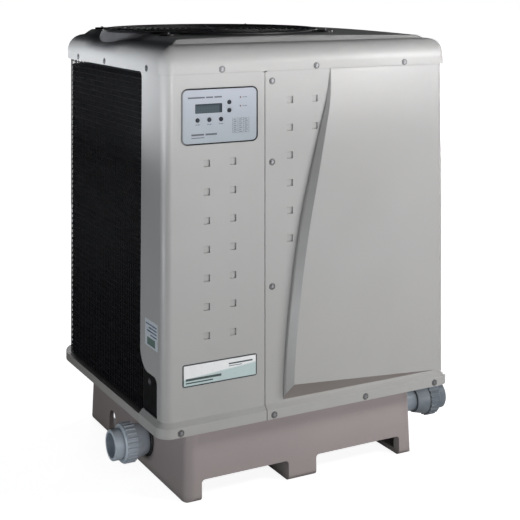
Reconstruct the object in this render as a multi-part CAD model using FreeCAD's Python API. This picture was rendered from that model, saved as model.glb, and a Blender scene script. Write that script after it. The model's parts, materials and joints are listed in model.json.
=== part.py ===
"""Pool heat pump: a three-sided evaporator cabinet on a moulded base tray, with top-discharge fan.

Frame: millimetres, +Z up, the control panels face -Y. The origin lies on the ground, on the
flat underside of the middle skid, at the centre of the cabinet's footprint.
"""
import FreeCAD
import Part
import math
import os

V = FreeCAD.Vector
X_AXIS = V(1, 0, 0)
Y_AXIS = V(0, 1, 0)
Z_AXIS = V(0, 0, 1)
ORIGIN = V(0, 0, 0)

# ---- driving dimensions: cabinet ----
WIDTH = 813.0              # across the outer faces of the side panels
DEPTH = 732.0              # front panel face to back mesh face
FRONT_R = 25.0             # plan radius of the front corners
BACK_R = 90.0              # plan radius of the back corners
SKIN = 3.2                 # thickness of the moulded front panels
HALF_W = WIDTH / 2
HALF_D = DEPTH / 2
RIM_Z0 = 183.0             # underside of the base rim and of the panels' ledge
RIM_Z1 = 204.0             # top of the base rim
SEAM_Z = 1031.0            # lower edge of the top cover
PANEL_TOP = 1050.0         # panels run up behind the cover's skirt
SEAM_X = -137.5            # joint between the two front panels
SEAM_GAP = 0.9             # half of that joint's width

# ---- base tray ----
WALL_HALF = 325.0          # outside of the tray's side walls under the rim
FOOT_OUT = 6.0             # draft: the skirt walls stand out this much more at the ground
WALL_FRONT_Y = -325.0
WALL_BACK_Y = 333.0
WALL_R = 28.0
TRAY_WALL = 8.0
DECK_LOW_Z = 190.0         # underside of the deck that carries the machinery
FLOOR = 198.0              # top of that deck
SOLE_T = 12.0              # thickness of the skids' soles
FORK_Z = 51.0              # height of the fork openings
FRONT_ROLL = 14.0          # radius of the skids' front ends at the ground
BACK_ROLL = 34.0           # the same at the back
SKID_LEFT = -290.0         # inner side of the left skid
SKID_MIDDLE = (-50.0, 30.0)
SKID_RIGHT = 284.0         # inner side of the right skid
SIDE_ARCH_Y = (137.0, 181.0)
SIDE_ARCH_Z = 66.0
SIDE_ARCH_R = 20.0
RECESS_X = 330.0           # half width of the well in the rim that the deck lies in
RECESS_Y = (-300.0, 285.0)
DRAIN = (250.0, 200.0)
DRAIN_R = 12.0
RIM_OUT = 10.0             # how far the rim stands out beyond the cabinet

# ---- panels ----
LEDGE_OUT = 11.0
LEDGE_TOP_Z = 206.0
SHOULDER_Z = 217.0
LEDGE_END_Y = -243.0       # the ledge wraps round each side to here
STRIP_END_Y = -230.0       # side strips of the panels end here
PLATE_TOP_Z = 312.0        # the strip is cut away below this height
PLATE_FRONT_Y = -328.0
FLARE = (26.0, 13.0)       # the strip widens by this much just under the cover
NOTCH = (9.0, 4.0)         # gap left at the head of the panels' joint
DIMPLE = 17.0
DIMPLE_DEPTH = 3.6
DIMPLE_BACKING = 2.2       # wall left behind and around each dimple
DIMPLE_PITCH = 68.2
LEFT_DIMPLES = ((112.0, 817.0, 7), (182.0, 817.0, 7))
RIGHT_DIMPLES = ((339.0, 957.0, 6), (410.0, 957.0, 2))

# ---- sail: the proud field of the right panel; its left edge as (height, x from corner) ----
SAIL_EDGE = [(205.0, 320.0), (400.0, 331.0), (500.0, 343.0), (600.0, 358.0), (700.0, 378.0),
             (800.0, 403.0), (880.0, 424.0), (950.0, 443.0), (1000.0, 451.5), (1036.0, 455.5)]
SAIL_DEPTH = 29.0
SAIL_LEVELS = 36           # sections between the sail's foot and its tip
SAIL_FADE_Z = 600.0        # above this height the sail thins out towards the cover
SAIL_RIGHT = 785.0
SAIL_BEVEL = 0.45          # sideways run of the left bevel per unit of depth
SAIL_STEP = 0.36           # share of the depth that rises straight up, before the bevel
SAIL_BOTTOM_Z = 222.0
SAIL_BOTTOM_SLOPE = 1.45

# ---- top cover and fan ----
COVER_OUT = 7.0
COVER_WALL = 4.0
COVER_SKIRT = 20.0
COVER_R = 47.0
DECK_Z = 1114.0            # height of the cover round the fan opening
DECK_FLAT_R = 296.0
DECK_SLOPE = 0.035
COLLAR_FLARE = 16.0        # the raised collar round the fan widens by this much
COLLAR_DROP = 34.0
FAN_X = -87.5
FAN_Y = 42.0
OPENING_R = 272.0
GUARD_R = 294.0
GUARD_T = 6.0
EAR_R = 20.0
EAR_AT = 325.0             # distance of the ears' screws from the fan's axis
SHROUD_R = 263.0
SHROUD_WALL = 4.0
FAN_R = 254.0
FAN_Z = 1056.0
FAN_BLADES = 4
HUB_R = 46.0
SHAFT_R = 6.35
SHAFT_CLEARANCE = 0.05
MOTOR_R = 70.0
MOTOR_Z = (880.0, 1020.0)
EAR_ANGLES = (-135.0, -45.0, 45.0, 135.0)

# ---- evaporator and its mesh guard ----
RAIL_R = 1.1
WIRE_R = 1.0
WIRE_IN = 4.6              # wire centres lie this far inside the cabinet outline
RAIL_IN = WIRE_IN + WIRE_R + RAIL_R
RAIL_PITCH = 14.0
WIRE_PITCH = 12.0
GUARD_Z = (RIM_Z1 + 0.5, 1046.0)
GUARD_FRONT_Y = -238.0
COIL_IN = 10.0
COIL_T = 40.0
COIL_Z = (RIM_Z1 + 1.0, 1014.0)
COIL_END_Y = -222.0
BULKHEAD_Y = -262.0

# ---- water unions (2 in pipe) ----
PIPE_R = 30.15
PIPE_BORE_R = 26.0
SOCKET_DEPTH = 38.0
LEFT_UNION = (-83.0, 74.0)
RIGHT_UNION = (-195.0, 84.0)
LEFT_REACH = 428.0
RIGHT_REACH = 512.5
NUT_R = 50.0
COLLAR_R = 38.0
THREAD_R = 44.0
RUN_CLEARANCE = 0.05
GROMMET_R = 43.5
GROMMET_LIP = 9.0          # how far the wall grommets reach out from the top of the tray's wall

# ---- control panel, from the left panel corner ----
KEYPAD_X = (49.0, 245.0)
KEYPAD_Z = (865.0, 992.0)
KEYPAD_R = 12.0
BEZEL = 3.0
KEY_R = 5.35
KEYS = {"key_1": (87.0, 920.0), "key_2": (118.0, 920.0), "key_3": (149.0, 920.0),
        "key_4": (171.0, 959.5), "key_5": (171.0, 940.0)}
LIGHTS = ((201.0, 970.0), (201.0, 949.0))
DISPLAY_X = (81.0, 152.0)
DISPLAY_Z = (936.0, 958.0)
NAME_X = (49.0, 246.0)
NAME_Z = (294.0, 347.0)
SCREW_HEAD_R = 4.0
SCREW_SHANK_R = 2.0
COVER_SCREW_X = (149.0, 411.0, 677.0)
COVER_SCREW_Z = 1039.0
PANEL_SCREW_X = 289.0
PANEL_SCREW_Z = (1005.0, 807.0, 503.0)
LEDGE_SCREW_X = (40.0, 289.0, 554.0, 770.0)
LEDGE_SCREW_Z = 193.0
PLATE_SCREW = (-277.0, 290.0)


# ---- refrigeration: places are (x, y) of upright axes ----
COMPRESSOR = (140.0, 90.0)
COMPRESSOR_R = 82.0
COMPRESSOR_TOP = FLOOR + 420.0
COMPRESSOR_BOLT = 82.0     # half the spacing of its mounting bolts
BOLT_HOLE_R = 5.2
EXCHANGER = (-165.0, 70.0)
EXCHANGER_R = 95.0
EXCHANGER_TOP = 700.0
EXCHANGER_PORTS = (268.0, 630.0)
EXCHANGER_TAP = 45.0       # distance of the refrigerant risers from its axis
COIL_TURNS_R = 66.0
COIL_TUBE_R = 9.0
ACCUMULATOR = (250.0, -70.0)
ACCUMULATOR_TOP = FLOOR + 290.0
DRIER = (-300.0, -90.0)
VALVE = (-285.0, -180.0)
REVERSING_Y = -150.0
REVERSING_Z = 760.0
REVERSING_X = (20.0, 150.0)
REVERSING_R = 19.0
REVERSING_STUBS = (50.0, 85.0, 120.0)
RISERS = ((EXCHANGER[0], LEFT_UNION[0]), (215.0, RIGHT_UNION[0]))
GAS_LINE_R = 10.0
HOT_LINE_R = 9.0
LIQUID_LINE_R = 6.0

# ---- electrical gear, hung on the bulkhead ----
TRAY_BOX = (-120.0, 170.0, 520.0, 840.0)
TRAY_DEPTH = 62.0
SHEET = 1.5                # gauge of the sheet metal
BACK_Y = BULKHEAD_Y - 0.2
GEAR_Y = BACK_Y - SHEET
PLATE_Y = -HALF_D - 1.6    # front face of the keypad plate
PLATE_T = 1.8
BOARD_Y = -350.0


# ---------------------------------------------------------------- basic shapes
def box(x0, x1, y0, y1, z0, z1):
    return Part.makeBox(x1 - x0, y1 - y0, z1 - z0, V(x0, y0, z0))


def cylinder(radius, start, end):
    start = V(*start)
    end = V(*end)
    return Part.makeCylinder(radius, (end - start).Length, start, end - start)


def tube(outer, inner, start, end):
    return cylinder(outer, start, end).cut(cylinder(inner, start, end))


def join(shapes):
    shapes = list(shapes)
    if len(shapes) == 1:
        return shapes[0]
    return shapes[0].multiFuse(shapes[1:]).removeSplitter()


def group(shapes):
    return Part.makeCompound(list(shapes))


def polygon(points):
    return Part.Face(Part.makePolygon([V(*p) for p in points] + [V(*points[0])]))


def rounded_box(x0, x1, y0, y1, z0, z1, radius, axis):
    """Box whose four edges along the given axis are rounded."""
    shape = box(x0, x1, y0, y1, z0, z1)
    edges = [e for e in shape.Edges if abs(e.tangentAt(e.FirstParameter).dot(axis)) > 0.99]
    return shape.makeFillet(radius, edges)


def mirrored(shape):
    """The same shape on the other side of the cabinet."""
    return shape.mirror(ORIGIN, X_AXIS)


def from_corner(x):
    """Distance from the left panel corner turned into an X coordinate."""
    return x - HALF_W


def pipe(points, outer, inner=None):
    """Round line through the points, with mitre balls at the bends; hollow if inner is given."""
    def run(radius):
        legs = [cylinder(radius, a, b) for a, b in zip(points, points[1:])]
        bends = [Part.makeSphere(radius, V(*p)) for p in points[1:-1]]
        return join(legs + bends)
    shape = run(outer)
    if inner is None:
        return shape
    return shape.cut(run(inner))


# ---------------------------------------------------------------- cabinet outline
def outline(out, z):
    """Closed plan outline of the cabinet, moved outward by out."""
    front_r = max(FRONT_R + out, 6.0)
    back_r = BACK_R + out
    x = HALF_W + out
    y0 = -HALF_D - out
    y1 = HALF_D + out
    diag = math.sqrt(0.5)
    edges = []

    def line(a, b):
        edges.append(Part.makeLine(V(a[0], a[1], z), V(b[0], b[1], z)))

    def arc(a, centre, radius, toward, b):
        mid = (centre[0] + radius * diag * toward[0], centre[1] + radius * diag * toward[1])
        points = [V(p[0], p[1], z) for p in (a, mid, b)]
        edges.append(Part.Arc(*points).toShape())

    line((-x + front_r, y0), (x - front_r, y0))
    arc((x - front_r, y0), (x - front_r, y0 + front_r), front_r, (1, -1), (x, y0 + front_r))
    line((x, y0 + front_r), (x, y1 - back_r))
    arc((x, y1 - back_r), (x - back_r, y1 - back_r), back_r, (1, 1), (x - back_r, y1))
    line((x - back_r, y1), (-x + back_r, y1))
    arc((-x + back_r, y1), (-x + back_r, y1 - back_r), back_r, (-1, 1), (-x, y1 - back_r))
    line((-x, y1 - back_r), (-x, y0 + front_r))
    arc((-x, y0 + front_r), (-x + front_r, y0 + front_r), front_r, (-1, -1), (-x + front_r, y0))
    return Part.Wire(edges)


def stack(levels, ruled=True):
    """Solid through cabinet outlines given as (height, outward offset)."""
    return Part.makeLoft([outline(out, z) for z, out in levels], True, ruled)


# ---------------------------------------------------------------- base
def tapered_box(x0, x1, y0, y1, z0, z1, radius, draft):
    """Upright box with rounded corners whose walls lean outward by draft at the bottom."""
    def wire(out, z):
        shape = rounded_box(x0 - out, x1 + out, y0 - out, y1 + out, z, z + 1, radius, Z_AXIS)
        bottom = [f for f in shape.Faces if f.normalAt(0, 0).z < -0.9]
        return bottom[0].OuterWire
    return Part.makeLoft([wire(draft, z0), wire(0, z1)], True, True)


def base_tray():
    """Moulded base: skirt walls and channel-shaped skids under a recessed deck with a rim."""
    body = tapered_box(-WALL_HALF, WALL_HALF, WALL_FRONT_Y, WALL_BACK_Y, 0, RIM_Z0, WALL_R,
                       FOOT_OUT)
    back_rim = stack([(RIM_Z0, RIM_OUT), (RIM_Z1, RIM_OUT)])
    back_rim = back_rim.common(box(-500, 500, LEDGE_END_Y + 0.5, 500, 0, 400))
    inside = LEDGE_OUT - SKIN - 1
    front_rim = stack([(RIM_Z0, inside), (LEDGE_TOP_Z - SKIN - 1, inside)])
    front_rim = front_rim.common(box(-500, 500, -500, LEDGE_END_Y + 0.5, 0, 400))
    recess = rounded_box(-RECESS_X, RECESS_X, RECESS_Y[0], RECESS_Y[1], FLOOR, RIM_Z1 + 1, 40,
                         Z_AXIS)
    tray = join([body, back_rim, front_rim]).cut(recess)
    reach = WALL_HALF + 2 * FOOT_OUT
    for x0, x1 in ((SKID_LEFT, SKID_MIDDLE[0]), (SKID_MIDDLE[1], SKID_RIGHT)):
        tray = tray.cut(rounded_tunnel(x0, x1, -reach, reach + 20, FORK_Z, 9.0))
    tray = tray.cut(group(under_deck_rooms()))
    tray = tray.cut(side_arch(reach))
    tray = round_skid_ends(tray)
    for side, port in ((-1, LEFT_UNION), (1, RIGHT_UNION)):
        tray = tray.cut(port_cutter(side, port))
    risers = [cylinder(PIPE_R + 2, (x, y, DECK_LOW_Z - 1), (x, y, FLOOR + 20)) for x, y in RISERS]
    x, y = DRAIN
    drain = cylinder(DRAIN_R, (x, y, DECK_LOW_Z - 1), (x, y, FLOOR + 1))
    return tray.cut(group(risers)).cut(drain)


def rounded_tunnel(x0, x1, y0, y1, top, radius):
    tunnel = box(x0, x1, y0, y1, -1, top)
    edges = [e for e in tunnel.Edges
             if abs(e.tangentAt(e.FirstParameter).y) > 0.99 and e.CenterOfMass.z > 0]
    return tunnel.makeFillet(radius, edges)


def under_deck_rooms():
    """Hollows under the deck: one in each half, and the channels above the skids' soles."""
    y0 = WALL_FRONT_Y + TRAY_WALL
    y1 = WALL_BACK_Y - TRAY_WALL
    x_wall = WALL_HALF - TRAY_WALL
    left = box(SKID_LEFT, SKID_MIDDLE[0], y0, y1, -1, DECK_LOW_Z)
    right = box(SKID_MIDDLE[1], SKID_RIGHT, y0, y1, -1, DECK_LOW_Z)
    left_channel = box(-x_wall, SKID_LEFT + 1, y0 + 12, y1 - 12, SOLE_T, DECK_LOW_Z)
    right_channel = box(SKID_RIGHT - 1, x_wall, y0 + 12, y1 - 12, SOLE_T, DECK_LOW_Z)
    x0, x1 = SKID_MIDDLE
    middle = box(x0 + TRAY_WALL, x1 - TRAY_WALL, y0, y1, SOLE_T, DECK_LOW_Z)
    return [left, right, left_channel, right_channel, middle]


def side_arch(reach):
    """Arched opening that runs sideways through the skids near the back."""
    y0, y1 = SIDE_ARCH_Y
    arch = box(-reach, reach, y0, y1, -1, SIDE_ARCH_Z)
    top = [e for e in arch.Edges
           if abs(e.tangentAt(e.FirstParameter).x) > 0.99 and e.CenterOfMass.z > 0]
    return arch.makeFillet(SIDE_ARCH_R, top)


def round_skid_ends(body):
    """Roll the skids' front and back ends up, so the feet meet the ground with a radius."""
    ends = ((WALL_FRONT_Y - FOOT_OUT, 1, FRONT_ROLL), (WALL_BACK_Y + FOOT_OUT, -1, BACK_ROLL))
    for y, side, radius in ends:
        corner = box(-400, 400, min(y, y + side * radius) - 10 * (side > 0),
                     max(y, y + side * radius) + 10 * (side < 0), -1, radius)
        keep = cylinder(radius, (-400, y + side * radius, radius), (400, y + side * radius, radius))
        body = body.cut(corner.cut(keep))
    return body


def port_cutter(side, port):
    """Round hole through one side wall for a water pipe."""
    y, z = port
    return cylinder(PIPE_R + 6.0, (side * 300, y, z), (side * 340, y, z))


def wall_grommets():
    """Rubber grommets that line the two pipe holes and lip over both sides of the wall."""
    result = []
    for side, port in ((-1, LEFT_UNION), (1, RIGHT_UNION)):
        y, z = port
        wall_in = side * (WALL_HALF - TRAY_WALL)
        wall_out = side * WALL_HALF
        lip = wall_out + side * GROMMET_LIP
        flange = cylinder(GROMMET_R, (wall_out - side * 2, y, z), (lip, y, z))
        edge = [e for e in flange.Edges if abs(e.CenterOfMass.x) > abs(lip) - 1]
        flange = flange.makeFillet(3.5, edge)
        sleeve = cylinder(PIPE_R + 6.0, (wall_in, y, z), (wall_out + side, y, z))
        bore = cylinder(PIPE_R, (side * 280, y, z), (side * 360, y, z))
        result.append(join([flange.cut(base), sleeve]).cut(bore))
    return group(result)


# ---------------------------------------------------------------- front panels
def strip_profile():
    """Side view of both front panels: ledge, cut-away over the black plate, long side strip."""
    y_front = -HALF_D - 40
    top = PANEL_TOP
    r_outer = 50.0
    r_inner = 17.0
    y_turn = STRIP_END_Y + 4
    y_head = STRIP_END_Y - 6
    h = math.sqrt(0.5)
    outer_mid = V(0, y_turn - r_outer + r_outer * h, PLATE_TOP_Z + r_outer - r_outer * h)
    inner_mid = V(0, PLATE_FRONT_Y + r_inner - r_inner * h, PLATE_TOP_Z - r_inner + r_inner * h)

    def p(y, z):
        return V(0, y, z)
    edges = [
        Part.makeLine(p(y_front, RIM_Z0), p(LEDGE_END_Y, RIM_Z0)),
        Part.makeLine(p(LEDGE_END_Y, RIM_Z0), p(LEDGE_END_Y, SHOULDER_Z)),
        Part.makeLine(p(LEDGE_END_Y, SHOULDER_Z), p(PLATE_FRONT_Y, SHOULDER_Z)),
        Part.makeLine(p(PLATE_FRONT_Y, SHOULDER_Z), p(PLATE_FRONT_Y, PLATE_TOP_Z - r_inner)),
        Part.Arc(p(PLATE_FRONT_Y, PLATE_TOP_Z - r_inner), inner_mid,
                 p(PLATE_FRONT_Y + r_inner, PLATE_TOP_Z)).toShape(),
        Part.makeLine(p(PLATE_FRONT_Y + r_inner, PLATE_TOP_Z), p(y_turn - r_outer, PLATE_TOP_Z)),
        Part.Arc(p(y_turn - r_outer, PLATE_TOP_Z), outer_mid,
                 p(y_turn, PLATE_TOP_Z + r_outer)).toShape(),
        Part.makeLine(p(y_turn, PLATE_TOP_Z + r_outer), p(y_head, SEAM_Z - FLARE[1])),
        Part.Arc(p(y_head, SEAM_Z - FLARE[1]), p(y_head + 0.25 * FLARE[0], SEAM_Z - 0.3 * FLARE[1]),
                 p(y_head + FLARE[0], SEAM_Z)).toShape(),
        Part.makeLine(p(y_head + FLARE[0], SEAM_Z), p(y_head + FLARE[0], top)),
        Part.makeLine(p(y_head + FLARE[0], top), p(y_front, top)),
        Part.makeLine(p(y_front, top), p(y_front, RIM_Z0)),
    ]
    return Part.Face(Part.Wire(edges))


def wrapped_skin():
    """Skin of both panels before they are split: ledge, shoulder and upright walls."""
    outer = stack([(RIM_Z0, LEDGE_OUT), (LEDGE_TOP_Z, LEDGE_OUT), (SHOULDER_Z, 0), (PANEL_TOP, 0)])
    inner_top = SHOULDER_Z - SKIN * 0.8
    inner = stack([(RIM_Z0 - 1, LEDGE_OUT - SKIN), (LEDGE_TOP_Z - SKIN * 0.8, LEDGE_OUT - SKIN),
                   (inner_top, -SKIN), (PANEL_TOP + 1, -SKIN)])
    return outer.cut(inner)


def half_skin(x0, x1):
    profile = strip_profile()
    profile.translate(V(x0, 0, 0))
    skin = wrapped_skin().common(profile.extrude(V(x1 - x0, 0, 0)))
    wide, tall = NOTCH
    return skin.cut(box(SEAM_X - wide / 2, SEAM_X + wide / 2, -HALF_D - 5, -HALF_D + 10,
                        SEAM_Z - tall, SEAM_Z + tall))


def dimple_blocks(columns, y0, grow):
    """Square blocks at the dimples; columns holds (x from corner, top z, count)."""
    half = DIMPLE / 2 + grow
    blocks = []
    for x, z_top, count in columns:
        x_mid = from_corner(x)
        for i in range(count):
            z = z_top - i * DIMPLE_PITCH
            blocks.append(rounded_box(x_mid - half, x_mid + half, y0, -HALF_D + DIMPLE_DEPTH + grow,
                                      z - half, z + half, 2.0 + grow, Y_AXIS))
    return blocks


def with_dimples(panel, columns):
    """Panel with square pockets pressed into its front face and bulging out behind it."""
    backed = join([panel] + dimple_blocks(columns, -HALF_D + 1, DIMPLE_BACKING))
    return backed.cut(group(dimple_blocks(columns, -HALF_D - 1, 0)))


def front_left_panel():
    panel = half_skin(-HALF_W - 40, SEAM_X - SEAM_GAP)
    opening = keypad_block(BEZEL + 0.2, -HALF_D - 20, -HALF_D + 20)
    return with_dimples(panel.cut(opening), LEFT_DIMPLES)


def sail_depth(z):
    """How far the sail stands out at its crest."""
    u = max(0.0, (z - SAIL_FADE_Z) / (SAIL_EDGE[-1][0] - SAIL_FADE_Z))
    return 0.4 + SAIL_DEPTH * (1 - u * u) ** 0.9


def sail_edge_points():
    """Points down the smooth curve of the sail's left edge, as (x, 0, z)."""
    curve = Part.BSplineCurve()
    curve.interpolate([V(from_corner(x), 0, z) for z, x in SAIL_EDGE])
    first = curve.FirstParameter
    span = curve.LastParameter - first
    return [curve.value(first + span * i / SAIL_LEVELS) for i in range(SAIL_LEVELS + 1)]


def sail_solid(inset):
    """Proud field of the right panel. With an inset it is the hollow behind that field."""
    back = inset + 1.5
    wires = []
    for edge in sail_edge_points():
        depth = sail_depth(edge.z) - 1.4 * inset
        if depth < 0.3:
            continue
        left = edge.x + 1.2 * inset
        right = from_corner(SAIL_RIGHT) - 3 * inset
        crest = left + SAIL_BEVEL * (depth + inset)
        step = inset if inset else -SAIL_STEP * depth
        points = [(left, back), (left, step), (crest, -depth), (right, inset), (right, back)]
        wires.append(Part.makePolygon([V(x, y, edge.z) for x, y in points + points[:1]]))
    solid = Part.makeLoft(wires, True, True)
    low = SAIL_BOTTOM_Z + inset * 1.6
    reach = 60.0
    cutter = polygon([(-HALF_W, 8, low - 8 * SAIL_BOTTOM_SLOPE),
                      (-HALF_W, -reach, low + reach * SAIL_BOTTOM_SLOPE),
                      (-HALF_W, -reach, 100), (-HALF_W, 8, 100)])
    solid = solid.cut(cutter.extrude(V(WIDTH, 0, 0)))
    solid.translate(V(0, -HALF_D, 0))
    return solid


def front_right_panel():
    panel = half_skin(SEAM_X + SEAM_GAP, HALF_W + 40)
    sail = sail_solid(0).common(box(-HALF_W, HALF_W, -500, 0, 0, SEAM_Z - 0.8))
    panel = join([panel, sail]).cut(sail_solid(SKIN))
    return with_dimples(panel, RIGHT_DIMPLES)


def corner_plate():
    """Black sheet behind the left panel's cut-away; it closes the end of the coil."""
    x = -HALF_W + SKIN + 0.4
    leg = box(x, x + 1.6, -345, GUARD_FRONT_Y - 1.5, RIM_Z1, PANEL_TOP - 1)
    flange = box(x, x + 26, -345, -343.4, RIM_Z1, PANEL_TOP - 1)
    return join([leg, flange])


# ---------------------------------------------------------------- cover, guard and fan
def dome(inset):
    """Solid under the cover's outer surface, moved inward by inset."""
    z_bend = SEAM_Z + COVER_SKIRT
    skirt = stack([(SEAM_Z, COVER_OUT - inset), (z_bend, COVER_OUT - inset)])
    steps = []
    for i in range(7):
        angle = math.radians(15 * i)
        steps.append((z_bend + (COVER_R - inset) * math.sin(angle),
                      COVER_OUT - inset - (COVER_R - inset) * (1 - math.cos(angle))))
    shoulder = stack(steps, ruled=False)
    z_crease, crease = steps[-1]
    crown = stack([(z_crease, crease), (z_crease + 10, crease - 14), (z_crease + 26, crease - 44)])
    top = DECK_Z - inset
    collar = Part.makeCone(DECK_FLAT_R + COLLAR_FLARE - inset, DECK_FLAT_R - inset, COLLAR_DROP,
                           V(FAN_X, FAN_Y, top - COLLAR_DROP))
    return join([join([skirt, shoulder, crown]).common(deck_cone(inset)), collar])


def deck_cone(inset):
    """Everything under the shallow cone that falls away from the fan opening."""
    z = DECK_Z - inset
    far = 720.0
    drop = (far - DECK_FLAT_R) * DECK_SLOPE
    profile = polygon([(0, 0, SEAM_Z - 50), (far, 0, SEAM_Z - 50), (far, 0, z - drop),
                       (DECK_FLAT_R, 0, z), (0, 0, z)])
    cone = profile.revolve(ORIGIN, Z_AXIS, 360)
    cone.translate(V(FAN_X, FAN_Y, 0))
    return cone


def top_cover():
    """Moulded cover: it drops over the panels and rests on their top edges."""
    pocket = stack([(SEAM_Z - 1, 0.4), (PANEL_TOP + 0.3, 0.4)])
    hollow = dome(COVER_WALL).common(stack([(SEAM_Z - 5, -COVER_WALL), (DECK_Z, -COVER_WALL)]))
    opening = cylinder(OPENING_R, (FAN_X, FAN_Y, SEAM_Z), (FAN_X, FAN_Y, DECK_Z + 5))
    return dome(0).cut(pocket).cut(hollow).cut(opening)


def ring(outer, inner, z0, z1):
    return tube(outer, inner, (FAN_X, FAN_Y, z0), (FAN_X, FAN_Y, z1))


def spoke(length, start, width, z0, z1, angle):
    bar = box(start, length, -width / 2, width / 2, z0, z1)
    bar.rotate(ORIGIN, Z_AXIS, angle)
    bar.translate(V(FAN_X, FAN_Y, 0))
    return bar


def fan_guard():
    """Moulded finger guard: rim, rings and spokes in one piece."""
    top = DECK_Z + GUARD_T
    rim = ring(GUARD_R, GUARD_R - 20, DECK_Z, top)
    rim = rim.makeFillet(3.0, [e for e in rim.Edges if e.CenterOfMass.z > top - 0.1])
    count = 13
    span = GUARD_R - 20
    rings = [ring(r + 2, r - 2, DECK_Z + 1, top - 2)
             for r in (50 + (span - 60) * i / (count - 1) for i in range(count))]
    spokes = [spoke(span + 2, 40, 5, DECK_Z + 1, top - 2, 22.5 * i) for i in range(16)]
    cap = cylinder(48, (FAN_X, FAN_Y, DECK_Z), (FAN_X, FAN_Y, top - 1))
    cap = cap.makeFillet(3.0, [e for e in cap.Edges if e.CenterOfMass.z > top - 1.1])
    return join([rim, cap] + rings + spokes)


def ear_centre(angle, radius):
    a = math.radians(angle)
    return FAN_X + radius * math.cos(a), FAN_Y + radius * math.sin(a)


def ear_block(angle, grow):
    """Round-ended tongue that reaches from the guard's rim to the ear's screw."""
    z0, z1 = DECK_Z - 5.0, DECK_Z + 3.0 + 4 * grow
    width = EAR_R + grow
    tongue = box(GUARD_R - 12, EAR_AT, -width, width, z0, z1)
    end = Part.makeCylinder(width, z1 - z0, V(EAR_AT, 0, z0))
    ear = join([tongue, end])
    ear.rotate(ORIGIN, Z_AXIS, angle)
    ear.translate(V(FAN_X, FAN_Y, 0))
    return ear


def guard_clips():
    """Four ears that hold the guard's rim down on the cover."""
    ears = []
    for angle in EAR_ANGLES:
        x, y = ear_centre(angle, EAR_AT)
        hole = cylinder(SCREW_SHANK_R, (x, y, DECK_Z - 20), (x, y, DECK_Z + 20))
        ears.append(ear_block(angle, 0).cut(hole).cut(rim_room()))
    return group(ears)


def rim_room():
    """Space that the guard's rim takes up."""
    return ring(GUARD_R + 0.1, GUARD_R - 40, DECK_Z, DECK_Z + 20)


def ear_seat():
    """Scoops in the cover under the ears, with their pilot holes."""
    cutters = []
    for angle in EAR_ANGLES:
        x, y = ear_centre(angle, EAR_AT)
        cutters.append(ear_block(angle, 0.3))
        cutters.append(cylinder(SCREW_SHANK_R + 0.05, (x, y, DECK_Z - 30), (x, y, DECK_Z)))
    return group(cutters)


def guard_screws():
    screws = []
    for angle in EAR_ANGLES:
        x, y = ear_centre(angle, EAR_AT)
        screws.append(screw((x, y, DECK_Z + 3), (0, 0, 1), 12.0))
    return group(screws)


def screw(seat, out, length):
    """Hex washer-head screw: seat is the point under the head, out is the way it faces."""
    seat = V(*seat)
    out = V(*out)
    washer = Part.makeCylinder(SCREW_HEAD_R + 0.6, 0.8, seat, out)
    corners = []
    side = out.cross(Z_AXIS if abs(out.z) < 0.5 else X_AXIS)
    up = out.cross(side)
    base_point = seat + out * 0.8
    for i in range(6):
        a = math.radians(60 * i)
        corners.append(base_point + side * (math.cos(a) * 3.4) + up * (math.sin(a) * 3.4))
    head = Part.Face(Part.makePolygon(corners + corners[:1])).extrude(out * 2.2)
    shank = Part.makeCylinder(SCREW_SHANK_R, length, seat - out * length, out)
    return join([washer, head, shank])


def fan_shroud():
    """Venturi ring that hangs under the cover's opening."""
    wall = ring(SHROUD_R + SHROUD_WALL, SHROUD_R, FAN_Z - 38, DECK_Z - 0.2)
    lip = ring(OPENING_R - 0.1, SHROUD_R, DECK_Z - 6, DECK_Z - 0.2)
    return join([wall, lip])


def blade(angle):
    """One fan blade: chord and pitch change from hub to tip."""
    wires = []
    for radius, chord, pitch in ((HUB_R - 4, 70, 38), (150, 130, 27), (FAN_R - 2, 165, 20)):
        half = chord / 2
        p = math.radians(pitch)
        corners = []
        for s, t in ((-1, -1), (1, -1), (1, 1), (-1, 1)):
            along = s * half
            across = t * 1.5
            corners.append(V(radius, along * math.cos(p) - across * math.sin(p),
                             along * math.sin(p) + across * math.cos(p)))
        wires.append(Part.makePolygon(corners + corners[:1]))
    shape = Part.makeLoft(wires, True, False)
    shape.rotate(ORIGIN, Z_AXIS, angle)
    shape.translate(V(FAN_X, FAN_Y, FAN_Z))
    return shape


def fan_blades():
    """Moulded fan: hub and blades in one piece, trimmed to the tip circle."""
    blades = [blade(360 / FAN_BLADES * i) for i in range(FAN_BLADES)]
    hub = cylinder(HUB_R, (FAN_X, FAN_Y, FAN_Z - 26), (FAN_X, FAN_Y, FAN_Z + 26))
    hub = hub.makeFillet(8.0, [e for e in hub.Edges if e.CenterOfMass.z > FAN_Z + 25])
    limit = cylinder(FAN_R, (FAN_X, FAN_Y, FAN_Z - 34), (FAN_X, FAN_Y, FAN_Z + 48))
    shape = join([hub] + blades).common(limit)
    return shape.cut(cylinder(SHAFT_R, (FAN_X, FAN_Y, FAN_Z - 60), (FAN_X, FAN_Y, FAN_Z + 60)))


def motor_shaft():
    return cylinder(SHAFT_R, (FAN_X, FAN_Y, MOTOR_Z[1] - 70), (FAN_X, FAN_Y, FAN_Z + 20))


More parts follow.
